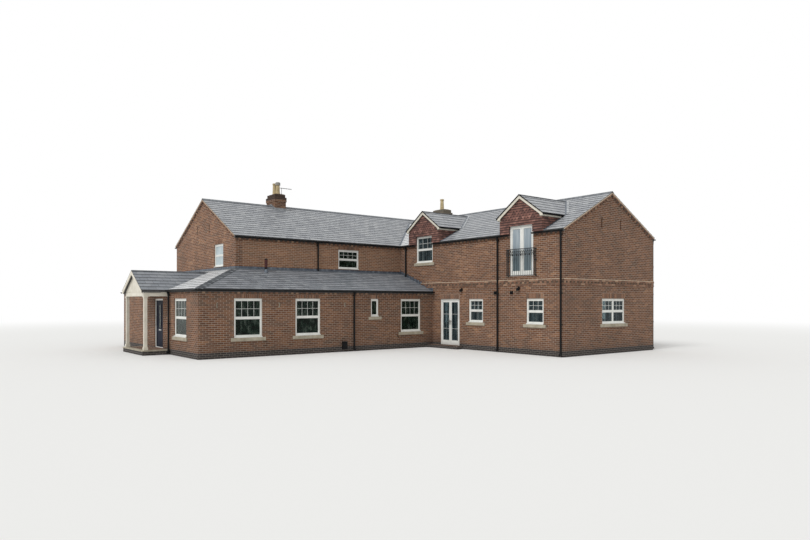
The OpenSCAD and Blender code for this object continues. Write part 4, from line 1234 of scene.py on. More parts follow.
def above_lean(z):
    """How far from the lean-to's top the wing's wall is clear of its slates at this height."""
    return lean_run - (z - lean_top) / lean_rise


band_bricks, band_joints, band_caps = [], [], []
band_walls = (
    (wing_side, above_lean, -wing_front_y + band_out),
    (wing_gable, lambda z: wing_x - band_out, wing_end_x + band_out),
    (right, lambda z: wing_front_y - band_out, 0.0),
)
for wall, start_at, end in band_walls:
    for i, out in enumerate((band_out - 0.008, band_out, band_out)):
        z = band_bottom + i * brick_high
        start = start_at(z)
        if i == 1:
            band_bricks.append(teeth(wall, start, end, z, z + brick_face_high, out))
            continue
        band_bricks.append(course(wall, start, end, z, out))
        if i == 2:
            cap_z = z + np.repeat([0.066, 0.071, 0.098], [4, 2, 2])
            cap_d = np.array([-out, -out, sunk, sunk] * 2)
            band_caps.append(on_wall(wall, np.array([start, end, end, start] * 2), cap_d, cap_z))
        band_joints.append(boxes(wall, [start, end, -out + 0.005, sunk, z - 0.005, z + 0.07]))
band_block = block_piece("band_bricks", band_bricks, brick_trim_finish, seed=33)
block_piece("band_joints", band_joints, (mortar, "band_brick"), seed=34)
block_piece("band_caps", band_caps, (pale_mortar, "band_brick"), seed=35)
# The strips behind the teeth are painted shade.
block_piece("trim_shade", shade_strips, (soot_and_shade_brick, "brick"), seed=36)
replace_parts(band_block, "band_course")
print(sum(map(len, band_bricks)), "bricks in the band")

# %% [markdown]
# ## Windows
# Every window is a white plastic copy of a sliding sash. Inside its outer frame stand two sashes, the
# upper one in front of the lower one, with little horns under the upper one's sides and thin bars on the
# outside that split the upper panes; the frosted window in the gable has neither. The measured panes tell
# where all of this goes: the helper finds each separate pane in the glass nodes, so every sash fits its
# own window.

# %%  Find the panes
frame_mid = 0.075


def separate_solids(name):
    """Boxes of a node's separate solids: points in a triangle share the lowest label until none changes."""
    mesh = nodes[name].data
    points = np.empty(len(mesh.vertices) * 3)
    mesh.vertices.foreach_get("co", points)
    loops = np.empty(len(mesh.loops), int)
    mesh.loops.foreach_get("vertex_index", loops)
    places, same = np.unique(np.round(points.reshape(-1, 3), 5), axis=0, return_inverse=True)
    corners = same.reshape(-1)[loops].reshape(-1, 3)
    label = np.arange(len(places))
    while True:
        lowest = label[corners].min(1)
        before = label.copy()
        for k in range(3):
            np.minimum.at(label, corners[:, k], lowest)
        if (before == label).all():
            break
    groups = [places[label == i] - house_corner for i in np.unique(label)]
    return [(group.min(0), group.max(0)) for group in groups]


def own_wall(lowest, highest):
    """The wall that a pane stands in: the one whose face is nearest in front of it."""
    names = ("left_front", "lean_front", "wing_gable", "rear")
    if highest[0] - lowest[0] < highest[1] - lowest[1]:
        names = ("left_gable", "lean_side", "wing_side", "right")
    middle = (lowest + highest) / 2
    return min(names, key=lambda n: abs((middle - WALLS[n][2]) @ WALLS[n][1] - frame_mid))


def on_own_walls(*node_names):
    """Each separate solid as a row: its wall's name, two u and two heights."""
    found = []
    for lowest, highest in (solid for name in node_names for solid in separate_solids(name)):
        name = own_wall(lowest, highest)
        u, z = wall_box(WALLS[name], lowest, highest)[::2]
        found.append((name, *u, *z))
    return found


def members(u, d, z, side, foot, head, inset=None):
    """Rows of boxes round an opening: left, right, bottom and top, the last two inset at their ends."""
    (u0, u1), (z0, z1) = u, z
    a, b = (u0 + side, u1 - side) if inset is None else (u0 + inset, u1 - inset)
    return [
        [u0, u0 + side, *d, z0, z1], [u1 - side, u1, *d, z0, z1],
        [a, b, *d, z0, z0 + foot], [a, b, *d, z1 - head, z1],
    ]


panes = on_own_walls("front_window_glass", "back_window_glass")
upper_doors = [p for p in panes if p[4] - p[3] > 1.6]
print(len(panes), "panes,", len(upper_doors), "of them in the upper doors")

# %%  Sashes and glazing bars
pane_front = 0.063
pane_back = 0.087
stile = 0.014
head_rail = 0.03
meeting_rail = 0.016
bottom_rail = 0.032
bead = 0.005
bar_w = 0.011
inner_depth = (pane_back - 0.001, 0.106)
sash_finish = (white_frame, "white_frame")
sash_blocks, bar_blocks, horns = [], [], []
for pane in panes:
    if pane in upper_doors:
        continue
    wall, u0, u1, z0, z1 = pane
    face = WALLS[wall]
    same = [p for p in panes if p[0] == wall and abs(p[1] - u0) < 0.01]
    is_upper = any(0 < z0 - p[4] < 0.2 for p in same)
    has_upper = any(0 < p[3] - z1 < 0.2 for p in same)
    foot = meeting_rail if is_upper else bottom_rail
    cap = meeting_rail if has_upper else head_rail
    for depth in ((0.034 if is_upper else 0.046, pane_front + 0.001), inner_depth):
        sash_blocks.append(boxes(face, members((u0, u1), depth, (z0, z1), stile, foot, cap)))
    a, b, low_z, top_z = u0 + stile, u1 - stile, z0 + foot, z1 - cap
    sash_blocks.append(boxes(face, members((a, b), (0.056, pane_front), (low_z, top_z), bead, bead, bead, 0)))
    if not is_upper or wall == "left_gable":
        continue
    wide = u1 - u0
    columns = 4 if wall.startswith("lean") or wide > 1.0 and wall != "wing_side" else 3 if wide > 0.7 else 2
    half_bar = bar_w / 2
    upright = [a + (b - a) * i / columns for i in range(1, columns)]
    middle = (low_z + top_z) / 2
    bar_blocks.append(boxes(face, [
        *[[u - half_bar, u + half_bar, 0.0595, pane_front + 0.001, low_z, top_z] for u in upright],
        [a, b, 0.06, pane_front + 0.001, middle - half_bar, middle + half_bar],
    ]))
    for left in (u0, u1 - stile):
        a, b = left + 0.002, left + stile - 0.002
        horn_d = np.array([0.044, 0.044, 0.056, 0.056, 0.034, 0.034, 0.056, 0.056])
        horns.append(on_wall(face, np.array([a, b, b, a] * 2), horn_d, np.repeat([z0 - 0.052, z0 + sunk], 4)))
block_piece("sashes", [*sash_blocks, *horns], sash_finish, seed=41)
block_piece("glazing_bars", bar_blocks, sash_finish, seed=42)
print(sum(map(len, sash_blocks)), "sash members,", sum(map(len, bar_blocks)), "bars")

# %%  Sub-sills under the frames
sill_d = np.array([-0.028, -0.028, 0.05, 0.05] * 2)
sill_up = np.array([0, 0, 0, 0, 0.026, 0.026, 0.044, 0.044])
window_frames = on_own_walls("front_window_frames", "back_window_frames")
sills = []
for wall, u0, u1, z0, z1 in window_frames:
    a, b = u0 + 0.004, u1 - 0.004
    sills.append(on_wall(WALLS[wall], np.array([a, b, b, a] * 2), sill_d, z0 + sill_up))
block_piece("sub_sills", sills, sash_finish, seed=43)
print(len(sills), "sub-sills")

# %% [markdown]
# ## Tile hanging on the dormers
# The dormers' fronts and cheeks are hung with small plain clay tiles in courses of 100 mm. High in each
# gable the tails are cut to points, which makes a pattern of diamonds. Each tile is a slab
# that leans out at its tail, like the slates. The front is cut round its window and along both slopes.

# %%  Plain and pointed tiles
hang_w = 0.165
hang_step = 0.10
hang_joint = 0.0015
dormer_face = -0.04
tile_low = 4.89


def plain_tiles(wall, z0, z1, face, gaps, seed):
    """Courses of tiles: gaps(course, z) gives the (from, to) stretches of that course at height z."""
    wander = np.random.default_rng(seed)
    found = []
    for row in range(math.ceil((z1 - z0) / hang_step)):
        z = z0 + row * hang_step
        for tail_edges, head_edges in zip(gaps(z, z), gaps(z, min(z + hang_step, z1))):
            t0, t1, h0, h1 = cut_row(row, hang_w, hang_joint, tail_edges, head_edges, 0.003)
            out = 0.022 + np.abs(wander.normal(0, 0.0012, len(t0)))
            top_z = min(z + hang_step + 0.012, z1)
            found.append(np.stack([
                on_wall(wall, u, face - proud, at_z)
                for left, right, stands, at_z in ((t0, t1, out, z), (h0, h1, 0.008, top_z))
                for u, proud in ((left, stands), (right, stands), (right, 0), (left, 0))
            ], 1))
    return np.concatenate(found)


def pointed_tiles(wall, middle, z0, rows, face):
    """Tiles whose tails end in a point: five corners each, in front of the face and on it."""
    shapes = []
    w = hang_w / 2 - hang_joint
    for row in range(rows):
        z = z0 + row * hang_step
        half = max(0.0, (dormer_ridge_z - 0.16 - z - hang_step) / dormer_rise)
        centres = np.arange(-40, 41) * hang_w + middle + 0.5 * hang_w * (row % 2)
        for c in centres[np.abs(centres - middle) < half - hang_w / 2]:
            u = c + np.array([0, w, w, -w, -w])
            zz = z + np.array([-0.062, 0.02, hang_step, hang_step, 0.02])
            d = face - np.array([0.030, 0.026, 0.010, 0.010, 0.026])
            shapes.append(skin([on_wall(wall, u, face, zz), on_wall(wall, u, d, zz)]))
    return shapes


def hang_dormer(middle, half_open, head):
    """Tiles of one dormer: beside and above its window, cut ones over the head, and on both cheeks."""
    u_mid, edge = -middle, half_open - 0.012

    def front_gaps(course_z, z):
        """The front's stretches at height z: two beside the window or over it, narrowed by the roof."""
        half = min(dormer_half, max(0.02, (dormer_ridge_z - 0.135 - z) / dormer_rise))
        if course_z < head - 0.03:
            return [(u_mid - half, u_mid - edge), (u_mid + edge, u_mid + half)]
        return [(u_mid - half, u_mid), (u_mid, u_mid + half)]

    found = [plain_tiles(wing_side, tile_low, dormer_ridge_z - 0.15, dormer_face, front_gaps, 3)]
    next_course = tile_low + math.ceil((head - 0.03 - tile_low) / hang_step) * hang_step
    if next_course - head > 0.015:
        over_head = [(u_mid - edge, u_mid + edge)]
        limits = (head + 0.004, next_course)
        found.append(plain_tiles(wing_side, *limits, dormer_face, lambda course_z, z: over_head, 5))
    for way, sign in (("front", 1), ("back", -1)):
        def cheek_gaps(course_z, z, sign=sign):
            """A cheek's stretch at height z: from the front corner to the wing's slates."""
            reach_x = wing_x + (z - wall_top) / main_rise
            return [tuple(sorted((sign * (wing_x + dormer_face), sign * max(reach_x, wing_x))))]

        cheek = facing(way, middle - sign * dormer_half)
        found.append(plain_tiles(cheek, tile_low, dormer_eaves_z - 0.03, 0.0, cheek_gaps, 4))
    return found


tile_finish = (hung_tile, "hung_tile")
hung = hang_dormer(dormer_places[0], 0.60, 5.24) + hang_dormer(dormer_places[1], 0.625, 5.21)
pointed = []
for middle in dormer_places:
    pointed += pointed_tiles(wing_side, -middle, 5.49, 4, dormer_face)
# The tiles' heads darken as painted shade under the tails above.
block_piece("hung_tiles", hung, tile_finish, seed=51, heads=(4, 5, 6, 7))
pointed_tones = np.repeat(np.random.default_rng(8).random(len(pointed)), 10)
pointed_piece = piece("pointed_tiles", pointed, tile_finish, tones=pointed_tones)
# The "up" share darkens the top of each pointed tile as painted shade between the tips of the row above.
tag(pointed_piece, "up", np.tile([0, 0, 1, 1, 0], 2 * len(pointed)))
print(sum(map(len, hung)), "plain and", len(pointed), "pointed tiles")

# %% [markdown]
# ## Bargeboards and dormer eaves
# Cream boards follow each dormer's slopes and end in a short level foot at the eaves. The same board
# carries on along the sides behind the gutters. One outline of the foot and the slope, pushed through the
# board's thickness, gives the whole board as one clean solid.

# %%  Boards of the dormers
board_finish = (cream_board, "white_frame")
plastic_finish = (black_plastic, "black_pvc")


def barge(wall, u_mid, half, ridge, rise, depths, deep, foot):
    """Two mirrored boards: an outline down the slope with a level foot, pushed between two depths."""
    eaves = ridge - half * rise
    plumb = deep * math.hypot(1, rise)
    end, foot_low = half + 0.015, eaves - deep * 0.95
    out = np.array([0.0, 0.0, half - foot, half - foot * 0.9, end, end])
    z = np.array([ridge, ridge - plumb, eaves + foot * rise - plumb, foot_low, foot_low, eaves - 0.012])
    return [skin([on_wall(wall, u_mid + sign * out, d, z) for d in depths[::-sign]]) for sign in (-1, 1)]


for name, lift, depths, deep, foot, finish in (
    ("bargeboards", -0.012, (-0.122, -0.094), 0.115, 0.14, board_finish),
    ("dormer_verges", 0.016, (-0.15, -0.121), 0.035, 0.02, plastic_finish),
):
    ridge = dormer_ridge_z + lift
    piece(name, [
        board for middle in dormer_places
        for board in barge(wing_side, -middle, dormer_eaves_half, ridge, dormer_rise, depths, deep, foot)
    ], finish)
fascia = []
reach_in = (dormer_eaves_z - 0.10 - wall_top) / main_rise + 0.12
for middle in dormer_places:
    for side in (-1, 1):
        edge, back_edge, inner, foot_end = (-middle + side * x for x in (
            dormer_eaves_half + 0.004, dormer_eaves_half - 0.014,
            dormer_half + 0.02, dormer_eaves_half - 0.15,
        ))
        fascia.append(boxes(wing_side, [
            [*sorted((edge, back_edge)), -0.10, reach_in, dormer_eaves_z - 0.145, dormer_eaves_z - 0.012],
            [*sorted((inner, edge)), -0.10, reach_in - 0.05, dormer_eaves_z - 0.148, dormer_eaves_z - 0.135],
            [*sorted((foot_end, edge)), -0.094, -0.03, dormer_eaves_z - 0.15, dormer_eaves_z - 0.138],
        ]))
block_piece("dormer_fascias", fascia, board_finish, seed=52)
print(sum(map(len, fascia)), "boards behind the dormers' gutters")

# %% [markdown]
# ## The upper doors and their railing
# A pair of narrow glazed doors opens inwards under the near dormer, behind an iron railing that
# stands just proud of the wall. The doors don't move here, because their open place can't be seen in the
# photo, so they are detail on a fixed frame: door stiles, beads and panes. The railing gets what makes
# it wrought: a band of scrolls, collars on the bars and fixings into the wall.

# %%  Upper door leaves
door_stile, door_foot, door_head = 0.055, 0.14, 0.075
thin_pane = (0.0572, 0.0625)
leaf_blocks, sky_panes = [], []
for wall, u0, u1, z0, z1 in upper_doors:
    face = WALLS[wall]
    for depth in ((0.034, pane_front + 0.001), inner_depth):
        leaf_blocks.append(boxes(face, members((u0, u1), depth, (z0, z1), door_stile, door_foot, door_head)))
    u, z = (u0 + door_stile, u1 - door_stile), (z0 + door_foot, z1 - door_head)
    leaf_blocks.append(boxes(face, members(u, (0.054, pane_front), z, 0.01, 0.012, 0.012, 0)))
    sky_panes.append(boxes(face, [u[0] + 0.012, u[1] - 0.012, *thin_pane, z[0] + 0.014, z[1] - 0.014]))
block_piece("upper_door_leaves", leaf_blocks, sash_finish, seed=61)
block_piece("upper_door_panes", sky_panes, (sky_reflection_glass, "window_glass"), seed=64)
print(len(upper_doors), "upper leaves")

# %%  Bars, scrolls, collars and fixings of the railing
iron_finish = (black_iron, "black_iron")
rail_low, rail_high = house_box("juliet_balcony")
rail_half = 0.015
rail_x = rail_low[0] + rail_half
rail_y0, rail_y1 = rail_low[1] + rail_half, rail_high[1] - rail_half
rail_foot, rail_top = rail_low[2], rail_high[2]
scroll_low = rail_top - 0.21
bays = 13
bay = (rail_y1 - rail_y0) / bays
front_ys = rail_y0 + np.arange(bays + 1) * bay

side_xs = np.linspace(rail_x + 0.031, wing_x - 0.015, 4)
bar_places = [(rail_x, y) for y in front_ys] + [(x, y) for x in side_xs for y in (rail_y0, rail_y1)]
bars = [tube([(x, y, rail_foot + 0.02), (x, y, rail_top - 0.02)], 0.007, 6) for x, y in bar_places]
for z in (rail_foot + rail_half, rail_top - 0.03 + rail_half):
    path = [(wing_x, rail_y0, z), (rail_x, rail_y0, z), (rail_x, rail_y1, z), (wing_x, rail_y1, z)]
    bars += [tube(ends, rail_half, 8) for ends in zip(path[:-1], path[1:])]
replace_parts(piece("railing_bars", bars, iron_finish), "juliet_balcony")

turn = np.linspace(0, 1.6 * np.pi, 15)
curl = 0.5 * bay * (1 - 0.55 * turn / turn[-1])
iron = [tube([(rail_x, rail_y0, scroll_low), (rail_x, rail_y1, scroll_low)], 0.011, 6)]
for i in range(bays):
    for lift, start in ((0.055, 0), (0.125, np.pi)):
        y = rail_y0 + (i + 0.5) * bay + curl * np.cos(turn + start) * 0.92
        z = scroll_low + lift + curl * np.sin(turn + start) * 0.75
        iron.append(tube(np.stack([rail_x + 0 * y, y, z], 1), 0.009, 5))
collar = np.array([(0.008, -0.027), (0.022, -0.015), (0.026, 0.0), (0.022, 0.015), (0.008, 0.027)])
plate = [(0.03, 0.0), (0.034, 0.01), (0.034, 0.05), (0.03, 0.06)]
for i, y in enumerate(front_ys):
    iron.append(turned((rail_x, y, scroll_low - 0.045), (1.4 - 0.5 * (i % 2)) * collar, 8))
for y in (rail_y0, rail_y1):
    for z in (rail_foot + 0.015, rail_foot + 0.62, rail_top - 0.035):
        iron.append(tube([(rail_x, y, z), (wing_x + 0.01, y, z)], 0.011, 6))
        iron.append(turned((wing_x - 0.004, y, z - 0.03), plate, 8))
piece("railing_ironwork", iron, iron_finish)
print(len(bars), "bars and rails,", len(iron), "pieces of ironwork")

# %% [markdown]
# ## The French doors
# Each leaf is a frame of plastic profiles round one tall pane, with two slim bars across it and a lever
# handle beside the meeting stile. The measured leaf holds its pane as one solid, which can't be
# clear, so a new leaf with a real pane stands for it and rides on the leaf's body.

# %%  Build both leaves
glass_finish = (glass, "window_glass")
leaf_bar, leaf_foot, leaf_rim, leaf_bead, groove = 0.068, 0.165, 0.018, 0.012, 0.006
handle_z, handle_thick = (1.06, 1.29), 0.012


def french_leaf(node_name, body, handle_side):
    """Frame members, beads and bars round a pane, with a handle on its meeting stile."""
    (u0, u1), (d0, d1), (z0, z1) = wall_box(wing_side, *house_box(node_name))
    a, b, foot, head = u0 + leaf_bar, u1 - leaf_bar, z0 + leaf_foot, z1 - leaf_bar
    rows = members((u0, u1), (d0, d1), (z0, z1), leaf_bar, leaf_foot, leaf_bar)
    tall = (z0 + leaf_rim, z1 - leaf_rim)
    rows += [[*u, d0 - 0.003, d0 + sunk, *z] for u, z in (
        ((u0 + leaf_rim, a - groove), tall), ((b + groove, u1 - leaf_rim), tall),
        ((a, b), (z0 + 0.03, foot - groove)), ((a, b), (head + groove, z1 - leaf_rim)),
    )]
    for depth in ((d0 + 0.004, d0 + 0.014), (d1 - 0.014, d1 - 0.004)):
        rows += members((a, b), depth, (foot, head), leaf_bead, leaf_bead, leaf_bead, 0)
        rows += [[a, b, depth[0] + 0.001, depth[1], z - 0.005, z + 0.005] for z in (0.89, 1.55)]
    made = block_piece(node_name + "_leaf", [boxes(wing_side, rows)], sash_finish, body, seed=62)
    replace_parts(made, node_name)
    pane = boxes(wing_side, [a - 0.004, b + 0.004, d0 + 0.0141, d1 - 0.0141, foot - 0.004, head + 0.004])
    block_piece(node_name + "_pane", [pane], glass_finish, body, seed=63)
    u = u1 - leaf_bar / 2 if handle_side > 0 else u0 + leaf_bar / 2
    handle = [blocks(boxes(wing_side, [
        [u - 0.015, u + 0.015, d0 - handle_thick, d0, *handle_z],
        [u - 0.015, u + 0.015, d1, d1 + handle_thick, *handle_z],
    ]))]
    for out, back in ((d0 - handle_thick, -1), (d1 + handle_thick, 1)):
        lever_u = u - handle_side * np.array([0, 0, 0, 0.03, 0.07, 0.11])
        lever_d = out + back * np.array([0, 0.02, 0.035, 0.04, 0.04, 0.038])
        handle.append(tube(on_wall(wing_side, lever_u, lever_d, 1.22), 0.009, 8))
    piece(node_name + "_handle", handle, (bright_metal, "white_frame"), body)


french_leaf("french_door_far", "french_leaf_far", 1)
french_leaf("french_door_near", "french_leaf_near", -1)
print("both leaves hung")

# %% [markdown]
# ## The front door and the porch
# The door is a smooth dark blue leaf with a tall narrow pane, pressed panels and a long handle, in a white
# frame under a small gabled porch. The measured leaf stays, with its new parts on its two faces. The
# porch gets bases and caps on its posts, boards in its gable and a pale stone edge on its brick platform.

# %%  Front door
(u0, u1), door_faces, (z0, z1) = wall_box(lean_side, *house_box("front_door"))
mid_u = (u0 + u1) / 2
panel_u, light_u, light_frame_u = 0.17, 0.116, 0.135
long_z, light_z = (z0 + 0.80, z1 - 0.18), (z0 + 0.78, z1 - 0.16)
panels = (
    (-0.36, 0.36, (z0 + 0.16, z0 + 0.62)), (-0.36, -panel_u, long_z), (panel_u, 0.36, long_z),
)
raised, door_glass, door_metal = [], [], []
for face, out in zip(door_faces, (-1, 1)):
    def standing(depth, sink=0.002):
        """From a little inside the door's face to this far out of it."""
        return sorted((face + out * depth, face - out * sink))

    rows = []
    for a, b, (c, d) in panels:
        for inset, depth in ((0.0, 0.010), (0.02, 0.004)):
            u, z = (mid_u + a + inset, mid_u + b - inset), (c + inset, d - inset)
            rows += members(u, standing(depth), z, 0.018, 0.018, 0.018, 0)
    u = (mid_u - light_frame_u, mid_u + light_frame_u)
    rows += members(u, standing(0.012), light_z, 0.02, 0.02, 0.02, 0)
    raised.append(boxes(lean_side, rows))
    u = (mid_u - light_u, mid_u + light_u)
    door_glass.append(boxes(lean_side, [*u, *standing(0.005, sunk), long_z[0] - 0.001, long_z[1] + 0.001]))
    grip = face + out * 0.045
    grip_path = on_wall(lean_side, u0 + 0.065, [face, grip, grip, grip, face], [1.08, 1.10, 1.30, 1.52, 1.54])
    door_metal.append(tube(grip_path, 0.011, 8))
front = door_faces[0]
letter_plate = [mid_u - 0.15, mid_u + 0.15, front - 0.010, front + sunk, z0 + 0.68, z0 + 0.735]
door_metal.append(blocks(boxes(lean_side, letter_plate)))
block_piece("front_door_mouldings", raised, (navy_door, "navy_door"), "front_door_leaf", seed=71)
block_piece("front_door_pane", door_glass, glass_finish, "front_door_leaf", seed=72)
piece("front_door_handles", door_metal, (bright_metal, "navy_door"), "front_door_leaf")
print("front door", round(u1 - u0, 3), "m wide")

# %%  Porch posts and gable boards
porch_face = facing("left", house_box("porch_frame")[low][0])
platform_low, platform_high = house_box("porch_platform")
post, half_post, post_top = 0.12, 0.06, 2.33
platform_top = platform_high[2]
bands = (
    (platform_top, 0.022, 0.11), (platform_top + 0.11, 0.010, 0.03),
    (post_top - 0.07, 0.012, 0.03), (post_top - 0.04, 0.024, 0.04),
)
porch_parts = []
for side in (-1, 1):
    u = -porch_middle - side * (1.3 - half_post)
    for z, out, tall in bands:
        wide = half_post + out
        porch_parts.append(boxes(porch_face, [[u + a, u + b, *d, z, z + tall] for a, b, d in (
            (-wide, wide, (-out, sunk)), (-wide, wide, (post - sunk, post + out)),
            (-wide, -half_post + sunk, (0.0, post)), (half_post - sunk, wide, (0.0, post)),
        )]))
board_w, board_gap, board_foot = 0.14, 0.008, 2.50
gable_boards = []
for i in range(-9, 9):
    a, b = i * board_w, (i + 1) * board_w - board_gap
    left, right_end = (max(0.0, (porch_half - 0.10 - abs(x)) * porch_rise) for x in (a, b))
    if min(left, right_end) > 0.01:
        board_z = board_foot + np.array([0, 0, 0, 0, left, right_end, right_end, left])
        board_u = -porch_middle + np.array([a, b, b, a] * 2)
        gable_boards.append(on_wall(porch_face, board_u, np.array([-0.014, -0.014, sunk, sunk] * 2), board_z))
block_piece("porch_trim", [*porch_parts, *gable_boards], board_finish, seed=73)
porch_front = facing("left", porch_front_x)
porch_barge = (porch_half, porch_ridge_z - 0.012, porch_rise, (-0.014, 0.012), 0.125, 0.13)
piece("porch_bargeboards", barge(porch_front, -porch_middle, *porch_barge), board_finish)

nosing_out, nosing_in = 0.012, 0.17
u0, u1 = -platform_high[1], -platform_low[1]
nosing_z = (platform_top - 0.04, platform_top + 0.003)
back = lean_x - platform_low[0]
nosing = boxes(facing("left", platform_low[0]), [
    [u0 - nosing_out, u1 + nosing_out, -nosing_out, nosing_in, *nosing_z],
    [u0 - nosing_out, u0 + nosing_in, nosing_in, back, *nosing_z],
    [u1 - nosing_in, u1 + nosing_out, nosing_in, back, *nosing_z],
])
block_piece("porch_nosing", [nosing], (cast_stone, "sill_stone"), seed=74)
print(len(gable_boards), "boards in the porch gable")

# %% [markdown]
# ## Gutters and downpipes
# The measured gutters and pipes are plain lengths. Real ones are joined every few metres by collars,
# hang from brackets and end in a stop. At the top, a downpipe leaves the gutter's outlet and bends back
# to the wall in a swan neck; at the bottom it turns out in a shoe.

# %%  Gutter brackets, collars and stops
gutter_mid = 0.10
gutter_r = 0.055
rim_z, lean_rim_z = 4.85, 2.56
half_turn = np.linspace(np.pi, 2 * np.pi, 9)


def half_ring(wall, u, rim, wide, radius, out=gutter_mid):
    """A band under a gutter: the half circle rim + r (cos a, sin a) at two radii, pushed along the wall."""
    c, s = np.cos(half_turn), np.sin(half_turn)
    outer, inner = radius + 0.007, radius - 0.001
    d = -out + np.concatenate([outer * c, inner * c[::-1]])
    z = rim + np.concatenate([outer * s, inner * s[::-1]])
    return shell(on_wall(wall, u - wide / 2, d, z), on_wall(wall, u + wide / 2, d, z))


def half_disc(wall, u, rim, thick, radius, out):
    """A stop at the end of a gutter: the half circle under its rim, closed by the chord."""
    d, z = -out + radius * np.cos(half_turn), rim + radius * np.sin(half_turn)
    return skin([on_wall(wall, u - thick / 2, d, z), on_wall(wall, u + thick / 2, d, z)])


gutter_runs = (
    (left_front, 0.0, wing_x - 0.2, rim_z), (wing_side, 0.1, 1.27, rim_z), (wing_side, 2.55, 7.3, rim_z),
    (wing_side, 8.65, -wing_front_y, rim_z), (right, wing_front_y, -0.1, rim_z),
    (rear, -wing_end_x, 0.0, rim_z),
    (lean_front, lean_x, wing_x - 0.05, lean_rim_z), (lean_side, -0.55, -lean_y, lean_rim_z),
    (lean_side, -rear_y, porch_ends[0], lean_rim_z),
)
bracket_every, bracket_wide, collar_wide = 0.9, 0.025, 0.10
rain = []
for wall, start, end, rim in gutter_runs:
    count = max(2, round((end - start) / bracket_every))
    for i, u in enumerate(np.linspace(start + 0.08, end - 0.08, count + 1)):
        rain.append(half_ring(wall, u, rim, collar_wide if i % 4 == 2 else bracket_wide, gutter_r))
dormer_rim, small_r = dormer_eaves_z - 0.018, 0.046
start, end = wing_x - 0.12, wing_x + (dormer_rim - 0.09 - wall_top) / main_rise
for middle in dormer_places:
    for way, sign in (("front", 1), ("back", -1)):
        side_wall = facing(way, middle - sign * dormer_eaves_half)
        rain.append(half_ring(side_wall, sign * (start + end) / 2, dormer_rim, end - start, small_r, small_r))
        rain.append(half_disc(side_wall, sign * (start - 0.003), dormer_rim, 0.008, gutter_r, small_r))
print(len(rain), "brackets, collars and stops")

# %%  Downpipes and the vent pipe
pipe_r = 0.036
pipe_wall = 0.07
collar_r = pipe_r + 0.009
pipe_collar = [
    (pipe_r - 0.002, 0), (collar_r, 0.004), (collar_r, 0.05),
    (pipe_r + 0.004, 0.058), (pipe_r - 0.002, 0.062),
]
neck_d = -np.array([pipe_wall, pipe_wall, pipe_wall + 0.012, gutter_mid, gutter_mid])
neck_up = np.array([-0.15, -0.09, -0.055, -0.02, 0.02])
shoe_d = -pipe_wall - np.array([0, 0, 0.02, 0.07])
shoe_up = np.array([0.16, 0.08, 0.045, 0.015])
solids = separate_solids("pipes")
vents = [solid for solid in solids if solid[high][0] - solid[low][0] > 0.09]
pipes = [solid for solid in solids if solid[high][0] - solid[low][0] <= 0.09]
for lowest, highest in pipes:
    x, y = (lowest[:2] + highest[:2]) / 2
    z0, z1 = lowest[2], highest[2]
    at = np.array([x, y, 0])
    wall = min(WALLS.values(), key=lambda w: abs((at - w[2]) @ w[1] + pipe_wall))
    u = at @ wall[0]
    collars = [z1 - 0.16, *np.arange(z0 + 1.15, z1 - 0.4, 1.2)]
    rain += [turned((x, y, z), pipe_collar, 14) for z in collars]
    rain += [blocks(boxes(wall, [
        [u - 0.014, u + 0.014, -pipe_wall, 0.0, z + 0.012, z + 0.045],
        [u - 0.05, u + 0.05, -0.012, 0.0, z + 0.01, z + 0.047],
    ])) for z in collars]
    rain.append(tube(on_wall(wall, u, neck_d, z1 + neck_up), pipe_r + 0.003, 12))
    if z0 < 0.2:
        rain.append(tube(on_wall(wall, u, shoe_d, z0 + shoe_up), pipe_r + 0.004, 12))
vent_low, vent_high = vents[0]
vent_x, vent_y = (vent_low[:2] + vent_high[:2]) / 2
vent_top = vent_high[2]
vent_cap = [(0.058, 0.0), (0.066, 0.004), (0.066, 0.03), (0.05, 0.05), (0.03, 0.062), (0.004, 0.066)]
rain.append(turned((vent_x, vent_y, vent_top - 0.02), vent_cap, 18))
piece("rainwater_fittings", rain, plastic_finish)
sleeve_profile = [(0.056, 0.0), (0.064, 0.003), (0.064, 0.312), (0.056, 0.315)]
sleeve = turned((vent_x, vent_y, vent_top - 0.33), sleeve_profile, 18)
piece("vent_sleeve", [sleeve], (brown_pipe, "black_pvc"))
slope_z = lean_top + (vent_y - lean_y) * lean_rise
flared = [(0.12, 0.0), (0.09, 0.05), (0.064, 0.10), (0.062, 0.15)]
vent_collar = turned((vent_x, vent_y, slope_z - 0.03), flared)
piece("vent_collar", [vent_collar], lead_finish, smooth=True)
print(len(pipes), "downpipes,", len(rain), "fittings")

# %% [markdown]
# ## Chimney tops
# A stack is capped with sloping mortar that sheds rain and holds the pots. Lead is dressed round its foot
# where it comes out of the slates, stepping up the slope with the brick courses.

